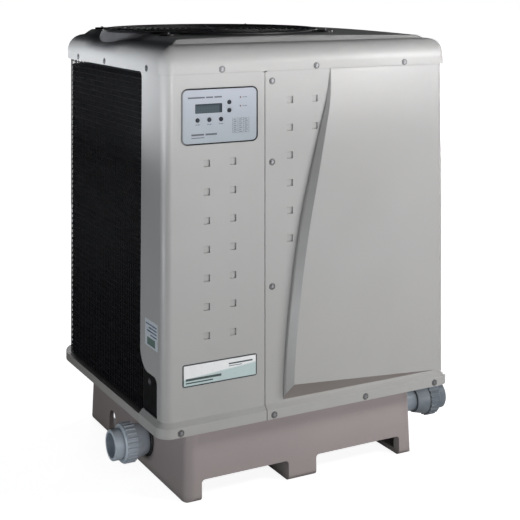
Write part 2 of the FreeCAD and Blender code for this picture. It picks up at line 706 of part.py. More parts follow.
def fan_motor():
    """Motor can with end bells, cooling ribs and a bearing nose around the shaft."""
    z0, z1 = MOTOR_Z
    can = cylinder(MOTOR_R, (FAN_X, FAN_Y, z0), (FAN_X, FAN_Y, z1))
    can = can.makeFillet(10.0, [e for e in can.Edges if abs(e.Length - 2 * math.pi * MOTOR_R) < 1])
    nose = cylinder(18, (FAN_X, FAN_Y, z1 - 1), (FAN_X, FAN_Y, z1 + 8))
    ribs = [ring(MOTOR_R + 3, MOTOR_R - 4, z0 + 22 + 12 * i, z0 + 26 + 12 * i) for i in range(4)]
    bore = cylinder(SHAFT_R + SHAFT_CLEARANCE, (FAN_X, FAN_Y, z1 - 72), (FAN_X, FAN_Y, z1 + 20))
    return join([can, nose] + ribs).cut(bore)


def motor_bracket():
    """Band around the motor with four arms to the shroud."""
    z1 = MOTOR_Z[1] - 12
    band = ring(MOTOR_R + 7, MOTOR_R, z1 - 42, z1)
    arms = []
    for i in range(4):
        arm = spoke(SHROUD_R + 1, MOTOR_R + 5, 24, z1 - 5, z1, 45 + 90 * i)
        arms.append(arm)
        post = spoke(SHROUD_R, SHROUD_R - 5, 24, z1 - 5, FAN_Z - 30, 45 + 90 * i)
        arms.append(post)
    inside = cylinder(SHROUD_R, (FAN_X, FAN_Y, 800), (FAN_X, FAN_Y, 1100))
    return join([band] + arms).common(inside)


# ---------------------------------------------------------------- evaporator
def coil_region(z0, z1):
    """U-shaped band that the evaporator fills: left side, back and right side."""
    shape = stack([(z0, -COIL_IN), (z1, -COIL_IN)]).cut(
        stack([(z0 - 1, -COIL_IN - COIL_T), (z1 + 1, -COIL_IN - COIL_T)]))
    return shape.common(box(-500, 500, COIL_END_Y, 500, z0, z1))


def evaporator_fins():
    return coil_region(*COIL_Z)


def coil_end_plates():
    """Sheet-metal tube plates at the two ends of the coil."""
    x0 = -HALF_W + COIL_IN
    left = box(x0, x0 + COIL_T, COIL_END_Y - 1.5, COIL_END_Y, *COIL_Z)
    return group([left, mirrored(left)])


def coil_return_bends():
    """Copper U-bends that stand out of the tube plates, in two columns."""
    bends = []
    y = COIL_END_Y - 1.5
    for side in (-1, 1):
        for x_in in (COIL_IN + 11, COIL_IN + 29):
            for i in range(15):
                z = COIL_Z[0] + 28 + 52 * i
                bends.append(return_bend(side * (HALF_W - x_in), y, z))
    return group(bends)


def return_bend(x, y, z):
    r = 5.0
    half = 13.0
    loop = Part.makeTorus(half, r, V(x, y, z), X_AXIS, 0, 360, 360)
    return loop.common(box(x - 20, x + 20, y - 40, y, z - 40, z + 40))


def guard_path(inward, z):
    """Open wire along the left side, round the back and along the right side."""
    x = HALF_W - inward
    y = HALF_D - inward
    r = BACK_R - inward
    h = r * (1 - math.sqrt(0.5))
    return Part.Wire([
        Part.makeLine(V(-x, GUARD_FRONT_Y, z), V(-x, y - r, z)),
        Part.Arc(V(-x, y - r, z), V(-x + h, y - h, z), V(-x + r, y, z)).toShape(),
        Part.makeLine(V(-x + r, y, z), V(x - r, y, z)),
        Part.Arc(V(x - r, y, z), V(x - h, y - h, z), V(x, y - r, z)).toShape(),
        Part.makeLine(V(x, y - r, z), V(x, GUARD_FRONT_Y, z)),
    ])


def coil_guard_rails():
    """Horizontal wires of the coil guard, bent round the two back corners."""
    rails = []
    count = int((GUARD_Z[1] - GUARD_Z[0] - 12) // RAIL_PITCH) + 1
    path = guard_path(RAIL_IN, GUARD_Z[0] + 8)
    start = path.OrderedVertexes[0].Point
    direction = path.OrderedEdges[0].tangentAt(path.OrderedEdges[0].FirstParameter)
    circle = Part.Wire(Part.makeCircle(RAIL_R, start, direction))
    rail = path.makePipeShell([circle], True, True)
    for i in range(count):
        copy = rail.copy()
        copy.translate(V(0, 0, RAIL_PITCH * i))
        rails.append(copy)
    return group(rails)


def coil_guard_wires():
    """Upright wires of the coil guard, welded to the outside of the rails."""
    path = guard_path(WIRE_IN, GUARD_Z[0])
    count = int(path.Length // WIRE_PITCH)
    points = path.discretize(Number=count + 1)
    wires = [Part.makeCylinder(WIRE_R, GUARD_Z[1] - GUARD_Z[0], p, Z_AXIS) for p in points]
    return group(wires)


def front_bulkhead():
    """Sheet that closes the coil's open side and carries the electrical gear."""
    x = HALF_W - SKIN - 6
    sheet = box(-x, x, BULKHEAD_Y, BULKHEAD_Y + SHEET, RIM_Z1 + 1, PANEL_TOP - 2)
    foot = box(-x, x, BULKHEAD_Y - 18, BULKHEAD_Y, RIM_Z1 + 1, RIM_Z1 + 1 + SHEET)
    return join([sheet, foot])


# ---------------------------------------------------------------- refrigeration
def capsule(centre, radius, z0, z1, rounding):
    """Upright pressure vessel with rounded ends."""
    x, y = centre
    can = cylinder(radius, (x, y, z0), (x, y, z1))
    rims = [e for e in can.Edges if abs(e.Length - 2 * math.pi * radius) < 1]
    return can.makeFillet(rounding, rims)


def compressor_posts():
    x, y = COMPRESSOR
    span = COMPRESSOR_BOLT
    return [(x + sx * span, y + sy * span) for sx in (-1, 1) for sy in (-1, 1)]


def compressor():
    """Hermetic scroll compressor on its square foot plate, with its terminal cover."""
    x, y = COMPRESSOR
    can = capsule(COMPRESSOR, COMPRESSOR_R, FLOOR + 32, COMPRESSOR_TOP, 34)
    foot = rounded_box(x - 100, x + 100, y - 100, y + 100, FLOOR + 26, FLOOR + 34, 20, Z_AXIS)
    terminals = rounded_box(x - 34, x + 34, y - COMPRESSOR_R - 26, y - 60, 430, 520, 6, Y_AXIS)
    holes = [cylinder(BOLT_HOLE_R, (px, py, FLOOR), (px, py, FLOOR + 60))
             for px, py in compressor_posts()]
    return join([can, foot, terminals]).cut(group(holes))


def compressor_grommets():
    feet = [tube(15, BOLT_HOLE_R, (x, y, FLOOR), (x, y, FLOOR + 26))
            for x, y in compressor_posts()]
    return group(feet)


def compressor_bolts():
    bolts = []
    for x, y in compressor_posts():
        shank = cylinder(5.0, (x, y, FLOOR + 0.5), (x, y, FLOOR + 34))
        head = cylinder(9.0, (x, y, FLOOR + 34), (x, y, FLOOR + 41))
        bolts.append(join([shank, head]))
    return group(bolts)


def heat_exchanger_shell():
    """Plastic water shell around the titanium coil, with two side ports."""
    x, y = EXCHANGER
    y_port = y - EXCHANGER_R
    shell = capsule(EXCHANGER, EXCHANGER_R, FLOOR + 20, EXCHANGER_TOP, 30)
    foot = tube(80, 70, (x, y, FLOOR), (x, y, FLOOR + 24))
    bosses = [cylinder(36, (x, y, z), (x, y_port - 22, z)) for z in EXCHANGER_PORTS]
    hollow = capsule(EXCHANGER, EXCHANGER_R - 6, FLOOR + 26, EXCHANGER_TOP - 6, 25)
    ports = [cylinder(PIPE_BORE_R, (x, y - 40, z), (x, y_port - 40, z)) for z in EXCHANGER_PORTS]
    seats = [cylinder(PIPE_R, (x, y_port - 2, z), (x, y_port - 40, z)) for z in EXCHANGER_PORTS]
    taps = [cylinder(COIL_TUBE_R + 0.1, (x + dx, y, EXCHANGER_TOP - 40),
                     (x + dx, y, EXCHANGER_TOP + 20))
            for dx in (-EXCHANGER_TAP, EXCHANGER_TAP)]
    return join([shell, foot] + bosses).cut(group([hollow] + ports)).cut(group(seats + taps))


def titanium_coil():
    """Helical refrigerant tube inside the water shell."""
    x, y = EXCHANGER
    helix = Part.makeHelix(34.0, 340.0, COIL_TURNS_R)
    profile = Part.Wire(Part.makeCircle(COIL_TUBE_R, V(COIL_TURNS_R, 0, 0), Y_AXIS))
    coil = Part.Wire(helix.Edges).makePipeShell([profile], True, True)
    coil.translate(V(x, y, 290))
    return coil


def accumulator():
    x, y = ACCUMULATOR
    vessel = capsule(ACCUMULATOR, 45, FLOOR + 30, ACCUMULATOR_TOP, 22)
    leg = cylinder(14, (x, y, FLOOR), (x, y, FLOOR + 34))
    flange = cylinder(34, (x, y, FLOOR), (x, y, FLOOR + 4))
    return join([vessel, leg, flange])


def reversing_valve():
    """Four-way valve: body across, three tube stubs below and one above."""
    y, z = REVERSING_Y, REVERSING_Z
    barrel = cylinder(REVERSING_R, (REVERSING_X[0], y, z), (REVERSING_X[1], y, z))
    rims = [e for e in barrel.Edges if abs(e.Length - 2 * math.pi * REVERSING_R) < 1]
    barrel = barrel.makeFillet(6, rims)
    stubs = [cylinder(12, (x, y, z - 40), (x, y, z)) for x in REVERSING_STUBS]
    middle = REVERSING_STUBS[1]
    stubs.append(cylinder(12, (middle, y, z), (middle, y, z + 40)))
    pilot = cylinder(9, (30, y - 26, z), (90, y - 26, z))
    link = box(45, 60, y - 22, y, z - 5, z + 5)
    return join([barrel, pilot, link] + stubs)


def discharge_line():
    """Hot gas line from the compressor's dome to the reversing valve."""
    x, y = COMPRESSOR
    stub = REVERSING_STUBS[1]
    high = REVERSING_Z + 90
    line = pipe([(x, y, COMPRESSOR_TOP - 20), (x, y, high), (stub, y, high),
                 (stub, REVERSING_Y, high), (stub, REVERSING_Y, REVERSING_Z + 40)], GAS_LINE_R)
    return line.cut(parts["compressor"])


def suction_line():
    """Return line from the reversing valve through the accumulator to the compressor."""
    x, y = ACCUMULATOR
    top = ACCUMULATOR_TOP
    cx, cy = COMPRESSOR
    stub = REVERSING_STUBS[1]
    low = REVERSING_Z - 70
    entry = 540.0
    first = pipe([(stub, REVERSING_Y, REVERSING_Z - 40), (stub, REVERSING_Y, low),
                  (x - 15, REVERSING_Y, low), (x - 15, y, low), (x - 15, y, top - 20)], GAS_LINE_R)
    second = pipe([(x + 15, y, top - 20), (x + 15, y, entry), (x + 15, cy, entry),
                   (cx + 40, cy, entry)], GAS_LINE_R)
    cutters = group([parts["accumulator"], parts["compressor"]])
    return group([first.cut(cutters), second.cut(cutters)])


def liquid_line():
    """Line from the exchanger through the drier and expansion valve to the coil."""
    x, y = EXCHANGER
    top = EXCHANGER_TOP + 2
    dx, dy = DRIER
    vx, vy = VALVE
    out = x - EXCHANGER_TAP
    first = pipe([(out, y, top), (out, y, 760), (dx, dy, 760), (dx, dy, 640)], LIQUID_LINE_R)
    second = pipe([(dx, dy, 500), (dx, dy, 470), (vx, vy, 470), (vx, vy, 500)], LIQUID_LINE_R)
    third = pipe([(vx, vy, 580), (vx, vy, 620), (vx - 60, vy, 620)], LIQUID_LINE_R)
    return group([first, second, third.cut(parts["evaporator_fins"])])


def hot_gas_line():
    """Line from the reversing valve to the exchanger's other riser."""
    x, y = EXCHANGER
    stub = REVERSING_STUBS[0]
    low = REVERSING_Z - 60
    high = REVERSING_Z + 70
    y_pass = -40.0
    end = x + EXCHANGER_TAP
    return pipe([(stub, REVERSING_Y, REVERSING_Z - 40), (stub, REVERSING_Y, low),
                 (stub, y_pass, low), (stub, y_pass, high), (end, y_pass, high),
                 (end, y, high), (end, y, EXCHANGER_TOP + 2)], HOT_LINE_R)


def filter_drier():
    x, y = DRIER
    body = capsule(DRIER, 24, 510, 630, 10)
    necks = cylinder(8, (x, y, 500), (x, y, 640))
    return join([body, necks])


def expansion_valve():
    """Thermostatic expansion valve: brass body, power head and side adjuster."""
    x, y = VALVE
    body = cylinder(13, (x, y, 500), (x, y, 560))
    head = cylinder(25, (x, y, 552), (x, y, 566))
    head = head.makeFillet(5, head.Edges[:1])
    stem = cylinder(8, (x, y, 560), (x, y, 580))
    adjuster = cylinder(7, (x, y, 525), (x, y - 34, 525))
    return join([body, head, stem, adjuster])


# ---------------------------------------------------------------- water side
def union_frame(side):
    """Sign, port position and outer end of the union on one side."""
    if side < 0:
        return LEFT_UNION, LEFT_REACH
    return RIGHT_UNION, RIGHT_REACH


def along(side, x, port):
    return (side * x, port[0], port[1])


def union_tailpiece(side):
    """Fixed half of a union: pipe through the wall, cone, and threaded spigot."""
    port, reach = union_frame(side)
    spigot_end = reach - SOCKET_DEPTH - 2.5
    spigot_start = spigot_end - 18
    cone_length = 35.0
    cone_start = spigot_start - cone_length
    inner_end = 270.0
    barrel = cylinder(PIPE_R, along(side, inner_end, port), along(side, spigot_start, port))
    cone = Part.makeCone(36.0, THREAD_R + 1, cone_length, V(*along(side, cone_start, port)),
                         V(side, 0, 0))
    spigot = cylinder(THREAD_R, along(side, spigot_start, port), along(side, spigot_end, port))
    bore = cylinder(PIPE_BORE_R, along(side, inner_end - 1, port), along(side, reach, port))
    return join([barrel, cone, spigot]).cut(bore)


def union_socket(side):
    """Loose half of a union: flange under the nut and a socket for the pool's pipe."""
    port, reach = union_frame(side)
    start = reach - SOCKET_DEPTH - 2.5
    flange = cylinder(THREAD_R - 0.1, along(side, start, port), along(side, start + 6, port))
    collar = cylinder(COLLAR_R, along(side, start, port), along(side, reach, port))
    tip = [e for e in collar.Edges if abs(abs(e.CenterOfMass.x) - reach) < 0.1]
    collar = collar.makeChamfer(1.6, tip)
    socket = cylinder(PIPE_R + 0.05, along(side, reach - SOCKET_DEPTH, port),
                      along(side, reach + 1, port))
    bore = cylinder(PIPE_BORE_R, along(side, start - 1, port), along(side, reach, port))
    return join([flange, collar]).cut(group([socket, bore]))


def union_nut(side):
    """Ribbed nut that turns around the collar and draws the two halves together."""
    port, reach = union_frame(side)
    start = reach - SOCKET_DEPTH - 2.5 - 17.5
    lip = start + 24
    end = lip + 9.5
    ribs = 24
    body = cylinder(NUT_R - 2.5, along(side, start, port), along(side, end, port))
    body = body.makeChamfer(3.0, [e for e in body.Edges if abs(e.CenterOfMass.x) > end - 0.1])
    rib_list = []
    for i in range(ribs):
        a = 2 * math.pi * i / ribs
        y = port[0] + (NUT_R - 3.2) * math.cos(a)
        z = port[1] + (NUT_R - 3.2) * math.sin(a)
        rib_list.append(cylinder(3.2, (side * (start + 1), y, z), (side * (end - 6), y, z)))
    thread = cylinder(THREAD_R + RUN_CLEARANCE, along(side, start - 1, port), along(side, lip, port))
    hole = cylinder(COLLAR_R + RUN_CLEARANCE, along(side, start - 1, port), along(side, end + 1, port))
    return join([body] + rib_list).cut(thread).cut(hole)


def water_inlet_pipe():
    """Pipe from the left union, under the deck and up to the exchanger's lower port."""
    x, y = EXCHANGER
    py, pz = LEFT_UNION
    z = EXCHANGER_PORTS[0]
    return slim_pipe([(-270, py, pz), (x, py, pz), (x, py, z), (x, y - EXCHANGER_R - 2, z)])


def water_outlet_pipe():
    """Pipe from the exchanger's upper port down through the deck to the right union."""
    x, y = EXCHANGER
    py, pz = RIGHT_UNION
    down_x = RISERS[1][0]
    z = EXCHANGER_PORTS[1]
    cross_z = 300.0
    return slim_pipe([(x, y - EXCHANGER_R - 2, z), (x, py, z), (-15, py, z), (-15, py, cross_z),
                      (down_x, py, cross_z), (down_x, py, pz), (270, py, pz)])


def slim_pipe(run):
    return pipe(run, PIPE_R - 0.1, PIPE_BORE_R)


# ---------------------------------------------------------------- electrical gear
def electrical_box():
    """Open sheet-metal tray on the bulkhead that holds the power gear."""
    x0, x1, z0, z1 = TRAY_BOX
    outer = box(x0, x1, BACK_Y - TRAY_DEPTH, BACK_Y, z0, z1)
    inner = box(x0 + SHEET, x1 - SHEET, BACK_Y - TRAY_DEPTH - 1, GEAR_Y, z0 + SHEET, z1 - SHEET)
    return outer.cut(inner)


def contactor_body():
    """Power relay base with a slot for the moving armature and screw terminals."""
    body = rounded_box(-95, -30, GEAR_Y - 48, GEAR_Y, 700, 780, 4, Y_AXIS)
    slot = box(-80, -45, GEAR_Y - 49, GEAR_Y - 20, 722, 758)
    pads = [box(x - 6, x + 6, GEAR_Y - 52, GEAR_Y - 40, z, z + 12)
            for x in (-86, -62.5, -39) for z in (702, 766)]
    return join([body] + pads).cut(slot)


def contactor_armature():
    """Block of moving contacts that the coil pulls in."""
    return rounded_box(-79.7, -45.3, GEAR_Y - 52, GEAR_Y - 24, 722.3, 757.7, 2, Y_AXIS)


def run_capacitor():
    body = cylinder(26, (60, GEAR_Y - 27, 560), (60, GEAR_Y - 27, 680))
    lugs = [box(60 + dx - 3, 60 + dx + 3, GEAR_Y - 28, GEAR_Y - 27, 680, 692) for dx in (-12, 0, 12)]
    return join([body] + lugs)


def transformer():
    core = box(100, 160, GEAR_Y - 42, GEAR_Y, 700, 756)
    winding = rounded_box(106, 154, GEAR_Y - 54, GEAR_Y, 712, 744, 5, Y_AXIS)
    return join([core, winding])


def terminal_block():
    base_block = box(-90, -10, GEAR_Y - 20, GEAR_Y, 560, 600)
    walls = [box(-90 + i * 20 - 1.5, -90 + i * 20 + 1.5, GEAR_Y - 30, GEAR_Y, 560, 600)
             for i in range(1, 4)]
    screws = [cylinder(5, (-80 + i * 20, GEAR_Y - 20, 580), (-80 + i * 20, GEAR_Y - 25, 580))
              for i in range(4)]
    return join([base_block] + walls + screws)


def wiring_loom():
    """Bundled cables from the control board to the power gear."""
    x = from_corner(150)
    return pipe([(x, -340, 884), (x, -322, 860), (x, -322, 600), (-131, -322, 560),
                 (-131, -300, 545), (-121.5, -300, 545)], 5)


# ---------------------------------------------------------------- user controls
def keypad_block(grow, y0, y1):
    """Rounded rectangular block behind the keypad's outline, grown by a margin."""
    return rounded_box(from_corner(KEYPAD_X[0]) - grow, from_corner(KEYPAD_X[1]) + grow, y0, y1,
                       KEYPAD_Z[0] - grow, KEYPAD_Z[1] + grow, KEYPAD_R + grow, Y_AXIS)


def key_axes():
    return [(from_corner(x), z) for x, z in KEYS.values()]


def control_openings(key_r, light_r):
    """Cutters for the keys and lights."""
    y0, y1 = PLATE_Y - 5, PLATE_Y + 12
    cutters = [cylinder(key_r, (x, y0, z), (x, y1, z)) for x, z in key_axes()]
    for x, z in LIGHTS:
        cutters.append(cylinder(light_r, (from_corner(x), y0, z), (from_corner(x), y1, z)))
    return cutters


def display_block(grow, y0, y1):
    return rounded_box(from_corner(DISPLAY_X[0]) - grow, from_corner(DISPLAY_X[1]) + grow, y0, y1,
                       DISPLAY_Z[0] - grow, DISPLAY_Z[1] + grow, 1.5, Y_AXIS)


def control_housing():
    """Black housing set in the panel; its rim frames the keypad plate."""
    front = PLATE_Y - 0.9
    shell = keypad_block(BEZEL, front, -338)
    recess = keypad_block(0.1, front - 1, PLATE_Y + PLATE_T)
    wall = PLATE_Y + PLATE_T + 2.0
    cavity = keypad_block(-4, wall, -337)
    cutters = control_openings(KEY_R + 0.1, 2.4) + [display_block(0.3, PLATE_Y, wall + 1)]
    return shell.cut(recess).cut(cavity).cut(group(cutters))


def keypad_plate():
    """Pale printed plate around the display and keys."""
    plate = keypad_block(0, PLATE_Y, PLATE_Y + PLATE_T)
    return plate.cut(group(control_openings(KEY_R + 0.1, 2.1) + [display_block(0.1, -400, -300)]))


def display_window():
    return display_block(0, PLATE_Y + 0.3, PLATE_Y + PLATE_T + 3.0)


def indicator_lights():
    lights = []
    for x, z in LIGHTS:
        stem = cylinder(2.0, (from_corner(x), PLATE_Y - 0.8, z), (from_corner(x), PLATE_Y + 7, z))
        rims = [e for e in stem.Edges if e.CenterOfMass.y < PLATE_Y - 0.7]
        lights.append(stem.makeFillet(0.7, rims))
    return group(lights)


def key(x, z):
    """Round key with a flange that keeps it behind the housing wall."""
    wall = PLATE_Y + PLATE_T + 2.0
    cap = cylinder(KEY_R, (x, PLATE_Y - 1.6, z), (x, wall + 2, z))
    cap = cap.makeFillet(1.0, [e for e in cap.Edges if e.CenterOfMass.y < PLATE_Y - 1.5])
    flange = cylinder(KEY_R + 1.6, (x, wall + 0.05, z), (x, wall + 1.8, z))
    return join([cap, flange])


def control_board():
    """Circuit board inside the housing, with its larger components."""
    y = BOARD_Y
    x0, x1 = from_corner(KEYPAD_X[0]) + 8, from_corner(KEYPAD_X[1]) - 8
    board = box(x0, x1, y, y + 1.6, KEYPAD_Z[0] + 8, KEYPAD_Z[1] - 8)
    chips = [box(x0 + 20 + 45 * i, x0 + 44 + 45 * i, y + 1.6, y + 5, 885, 909) for i in range(3)]
    relays = [box(x0 + 15 + 30 * i, x0 + 35 + 30 * i, y + 1.6, y + 10, 940, 968) for i in range(4)]
    return join([board] + chips + relays)


def name_plate():
    """Blank trim plate low on the left panel."""
    return rounded_box(from_corner(NAME_X[0]), from_corner(NAME_X[1]), -HALF_D - 1.0, -HALF_D,
                       NAME_Z[0], NAME_Z[1], 5.0, Y_AXIS)


# ---------------------------------------------------------------- fasteners
def front_screw(x, z, out):
    return screw((from_corner(x), -HALF_D - out, z), (0, -1, 0), out + SKIN + 6)


def panel_screws():
    """All the cabinet's screws: cover fascia, panel joint, ledge and side plates."""
    screws = [front_screw(x, COVER_SCREW_Z, COVER_OUT) for x in COVER_SCREW_X]
    screws += [front_screw(PANEL_SCREW_X, z, 0) for z in PANEL_SCREW_Z]
    screws += [front_screw(x, LEDGE_SCREW_Z, LEDGE_OUT) for x in LEDGE_SCREW_X]
    for side in (-1, 1):
        x_cover = side * (HALF_W + COVER_OUT)
        for y in (-281.0, 0.0, 200.0):
            screws.append(screw((x_cover, y, 1041), (side, 0, 0), 8.5))
        x_plate = side * (HALF_W - SKIN - 0.4)
        screws.append(screw((x_plate, PLATE_SCREW[0], PLATE_SCREW[1]), (side, 0, 0), 6))
    for x in (-230.0, 0.0, 230.0):
        screws.append(screw((x, HALF_D + COVER_OUT, 1041), (0, 1, 0), 8.5))
    return group(screws)


def screw_holes():
    """Clearance for every screw shank."""
    grown = []
    for shape in parts["panel_screws"].Solids:
        for face in shape.Faces:
            surface = face.Surface
            if isinstance(surface, Part.Cylinder) and abs(surface.Radius - SCREW_SHANK_R) < 0.01:
                box_ = face.BoundBox
                centre = V(box_.Center)
                length = max(box_.XLength, box_.YLength, box_.ZLength)
                axis = surface.Axis
                start = centre - axis * (length / 2 + 0.5)
                grown.append(Part.makeCylinder(SCREW_SHANK_R + 0.05, length + 1, start, axis))
    return group(grown)


# ---------------------------------------------------------------- build
parts = {}
base = base_tray()
guard = fan_guard()

parts["base_tray"] = base
parts["panel_screws"] = panel_screws()
holes = screw_holes()
parts["base_tray"] = base.cut(holes)
parts["front_left_panel"] = front_left_panel().cut(holes)
parts["front_right_panel"] = front_right_panel().cut(holes)
parts["left_corner_plate"] = corner_plate().cut(holes)
parts["right_corner_plate"] = mirrored(corner_plate()).cut(holes)
parts["top_cover"] = top_cover().cut(ear_seat()).cut(holes)
parts["fan_guard"] = guard
parts["guard_clips"] = guard_clips()
parts["guard_screws"] = guard_screws()
parts["fan_shroud"] = fan_shroud().cut(ear_seat())
parts["fan_blades"] = fan_blades()
parts["motor_shaft"] = motor_shaft()
parts["fan_motor"] = fan_motor()
parts["motor_bracket"] = motor_bracket().cut(parts["fan_motor"])
parts["evaporator_fins"] = evaporator_fins()
parts["coil_end_plates"] = coil_end_plates()
parts["coil_return_bends"] = coil_return_bends()
parts["coil_guard_rails"] = coil_guard_rails()
parts["coil_guard_wires"] = coil_guard_wires()
parts["front_bulkhead"] = front_bulkhead()
parts["compressor"] = compressor()
parts["compressor_grommets"] = compressor_grommets()
parts["compressor_bolts"] = compressor_bolts()
parts["heat_exchanger_shell"] = heat_exchanger_shell()
parts["titanium_coil"] = titanium_coil()
parts["accumulator"] = accumulator()
parts["reversing_valve"] = reversing_valve()
parts["filter_drier"] = filter_drier()
parts["expansion_valve"] = expansion_valve()
parts["discharge_line"] = discharge_line()
parts["suction_line"] = suction_line()
parts["hot_gas_line"] = hot_gas_line()
parts["liquid_line"] = liquid_line()
parts["wall_grommets"] = wall_grommets()
parts["union_tailpieces"] = group([union_tailpiece(-1), union_tailpiece(1)])
parts["union_sockets"] = group([union_socket(-1), union_socket(1)])
parts["union_nut_left"] = union_nut(-1)
parts["union_nut_right"] = union_nut(1)
parts["water_inlet_pipe"] = water_inlet_pipe()
parts["water_outlet_pipe"] = water_outlet_pipe()
parts["electrical_box"] = electrical_box()
parts["contactor_body"] = contactor_body()
parts["contactor_armature"] = contactor_armature()
parts["run_capacitor"] = run_capacitor()
parts["transformer"] = transformer()
parts["terminal_block"] = terminal_block()
parts["wiring_loom"] = wiring_loom()
parts["control_housing"] = control_housing()
parts["keypad_plate"] = keypad_plate()
parts["display_window"] = display_window()
parts["indicator_lights"] = indicator_lights()
parts["control_board"] = control_board()
for name, place in KEYS.items():
    parts[name] = key(from_corner(place[0]), place[1])
parts["name_plate"] = name_plate()

os.makedirs("parts", exist_ok=True)
for name, shape in parts.items():
    shape.exportStep(os.path.join("parts", name + ".step"))
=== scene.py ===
"""Looks of the pool heat pump: materials, coil fins, printed marks, light and camera around the CAD frame."""
import bpy
import bmesh
import json
import math
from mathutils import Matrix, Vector

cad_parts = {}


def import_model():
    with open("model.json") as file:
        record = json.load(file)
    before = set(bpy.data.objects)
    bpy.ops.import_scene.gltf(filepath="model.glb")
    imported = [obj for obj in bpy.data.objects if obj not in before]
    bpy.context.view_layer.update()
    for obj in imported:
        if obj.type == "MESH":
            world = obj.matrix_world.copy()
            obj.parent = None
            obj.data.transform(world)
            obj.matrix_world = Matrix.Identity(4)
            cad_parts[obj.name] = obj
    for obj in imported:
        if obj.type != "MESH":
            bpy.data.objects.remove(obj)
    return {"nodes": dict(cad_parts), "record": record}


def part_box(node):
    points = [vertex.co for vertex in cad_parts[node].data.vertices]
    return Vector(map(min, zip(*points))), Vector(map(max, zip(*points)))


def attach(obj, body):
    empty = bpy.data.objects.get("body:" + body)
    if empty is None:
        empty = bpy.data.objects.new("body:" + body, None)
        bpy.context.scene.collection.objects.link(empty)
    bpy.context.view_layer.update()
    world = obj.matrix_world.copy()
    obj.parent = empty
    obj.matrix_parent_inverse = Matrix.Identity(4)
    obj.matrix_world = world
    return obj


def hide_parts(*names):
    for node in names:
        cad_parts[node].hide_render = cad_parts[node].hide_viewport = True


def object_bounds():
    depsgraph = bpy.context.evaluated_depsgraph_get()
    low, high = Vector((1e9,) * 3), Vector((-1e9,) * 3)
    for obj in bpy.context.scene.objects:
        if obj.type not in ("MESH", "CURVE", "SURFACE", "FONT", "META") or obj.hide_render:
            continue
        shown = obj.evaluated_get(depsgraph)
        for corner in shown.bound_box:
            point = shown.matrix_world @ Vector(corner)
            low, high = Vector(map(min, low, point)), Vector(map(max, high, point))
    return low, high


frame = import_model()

CAD_BOX = [list(corner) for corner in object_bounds()]
NODES = frame["nodes"]

# ---- places read from the frame, in metres ----
FIN_LO, FIN_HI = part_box("evaporator_fins")
KEYPAD_LO, KEYPAD_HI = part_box("keypad_plate")
NAME_LO, NAME_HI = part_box("name_plate")
WIRE_LO, WIRE_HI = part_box("coil_guard_wires")
SHELL_PROUD = 0.0036       # the cabinet's side faces stand this far outside the guard's wires
HALF_W = WIRE_HI.x + SHELL_PROUD
HALF_D = 0.366             # cabinet centre to the outer face of the back
CORNER_R = 0.090           # rounded back corners of the cabinet, in plan
GROUND = CAD_BOX[0][2]
GUARD_LO, GUARD_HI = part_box("fan_guard")
FAN_AXIS = (GUARD_LO + GUARD_HI) / 2


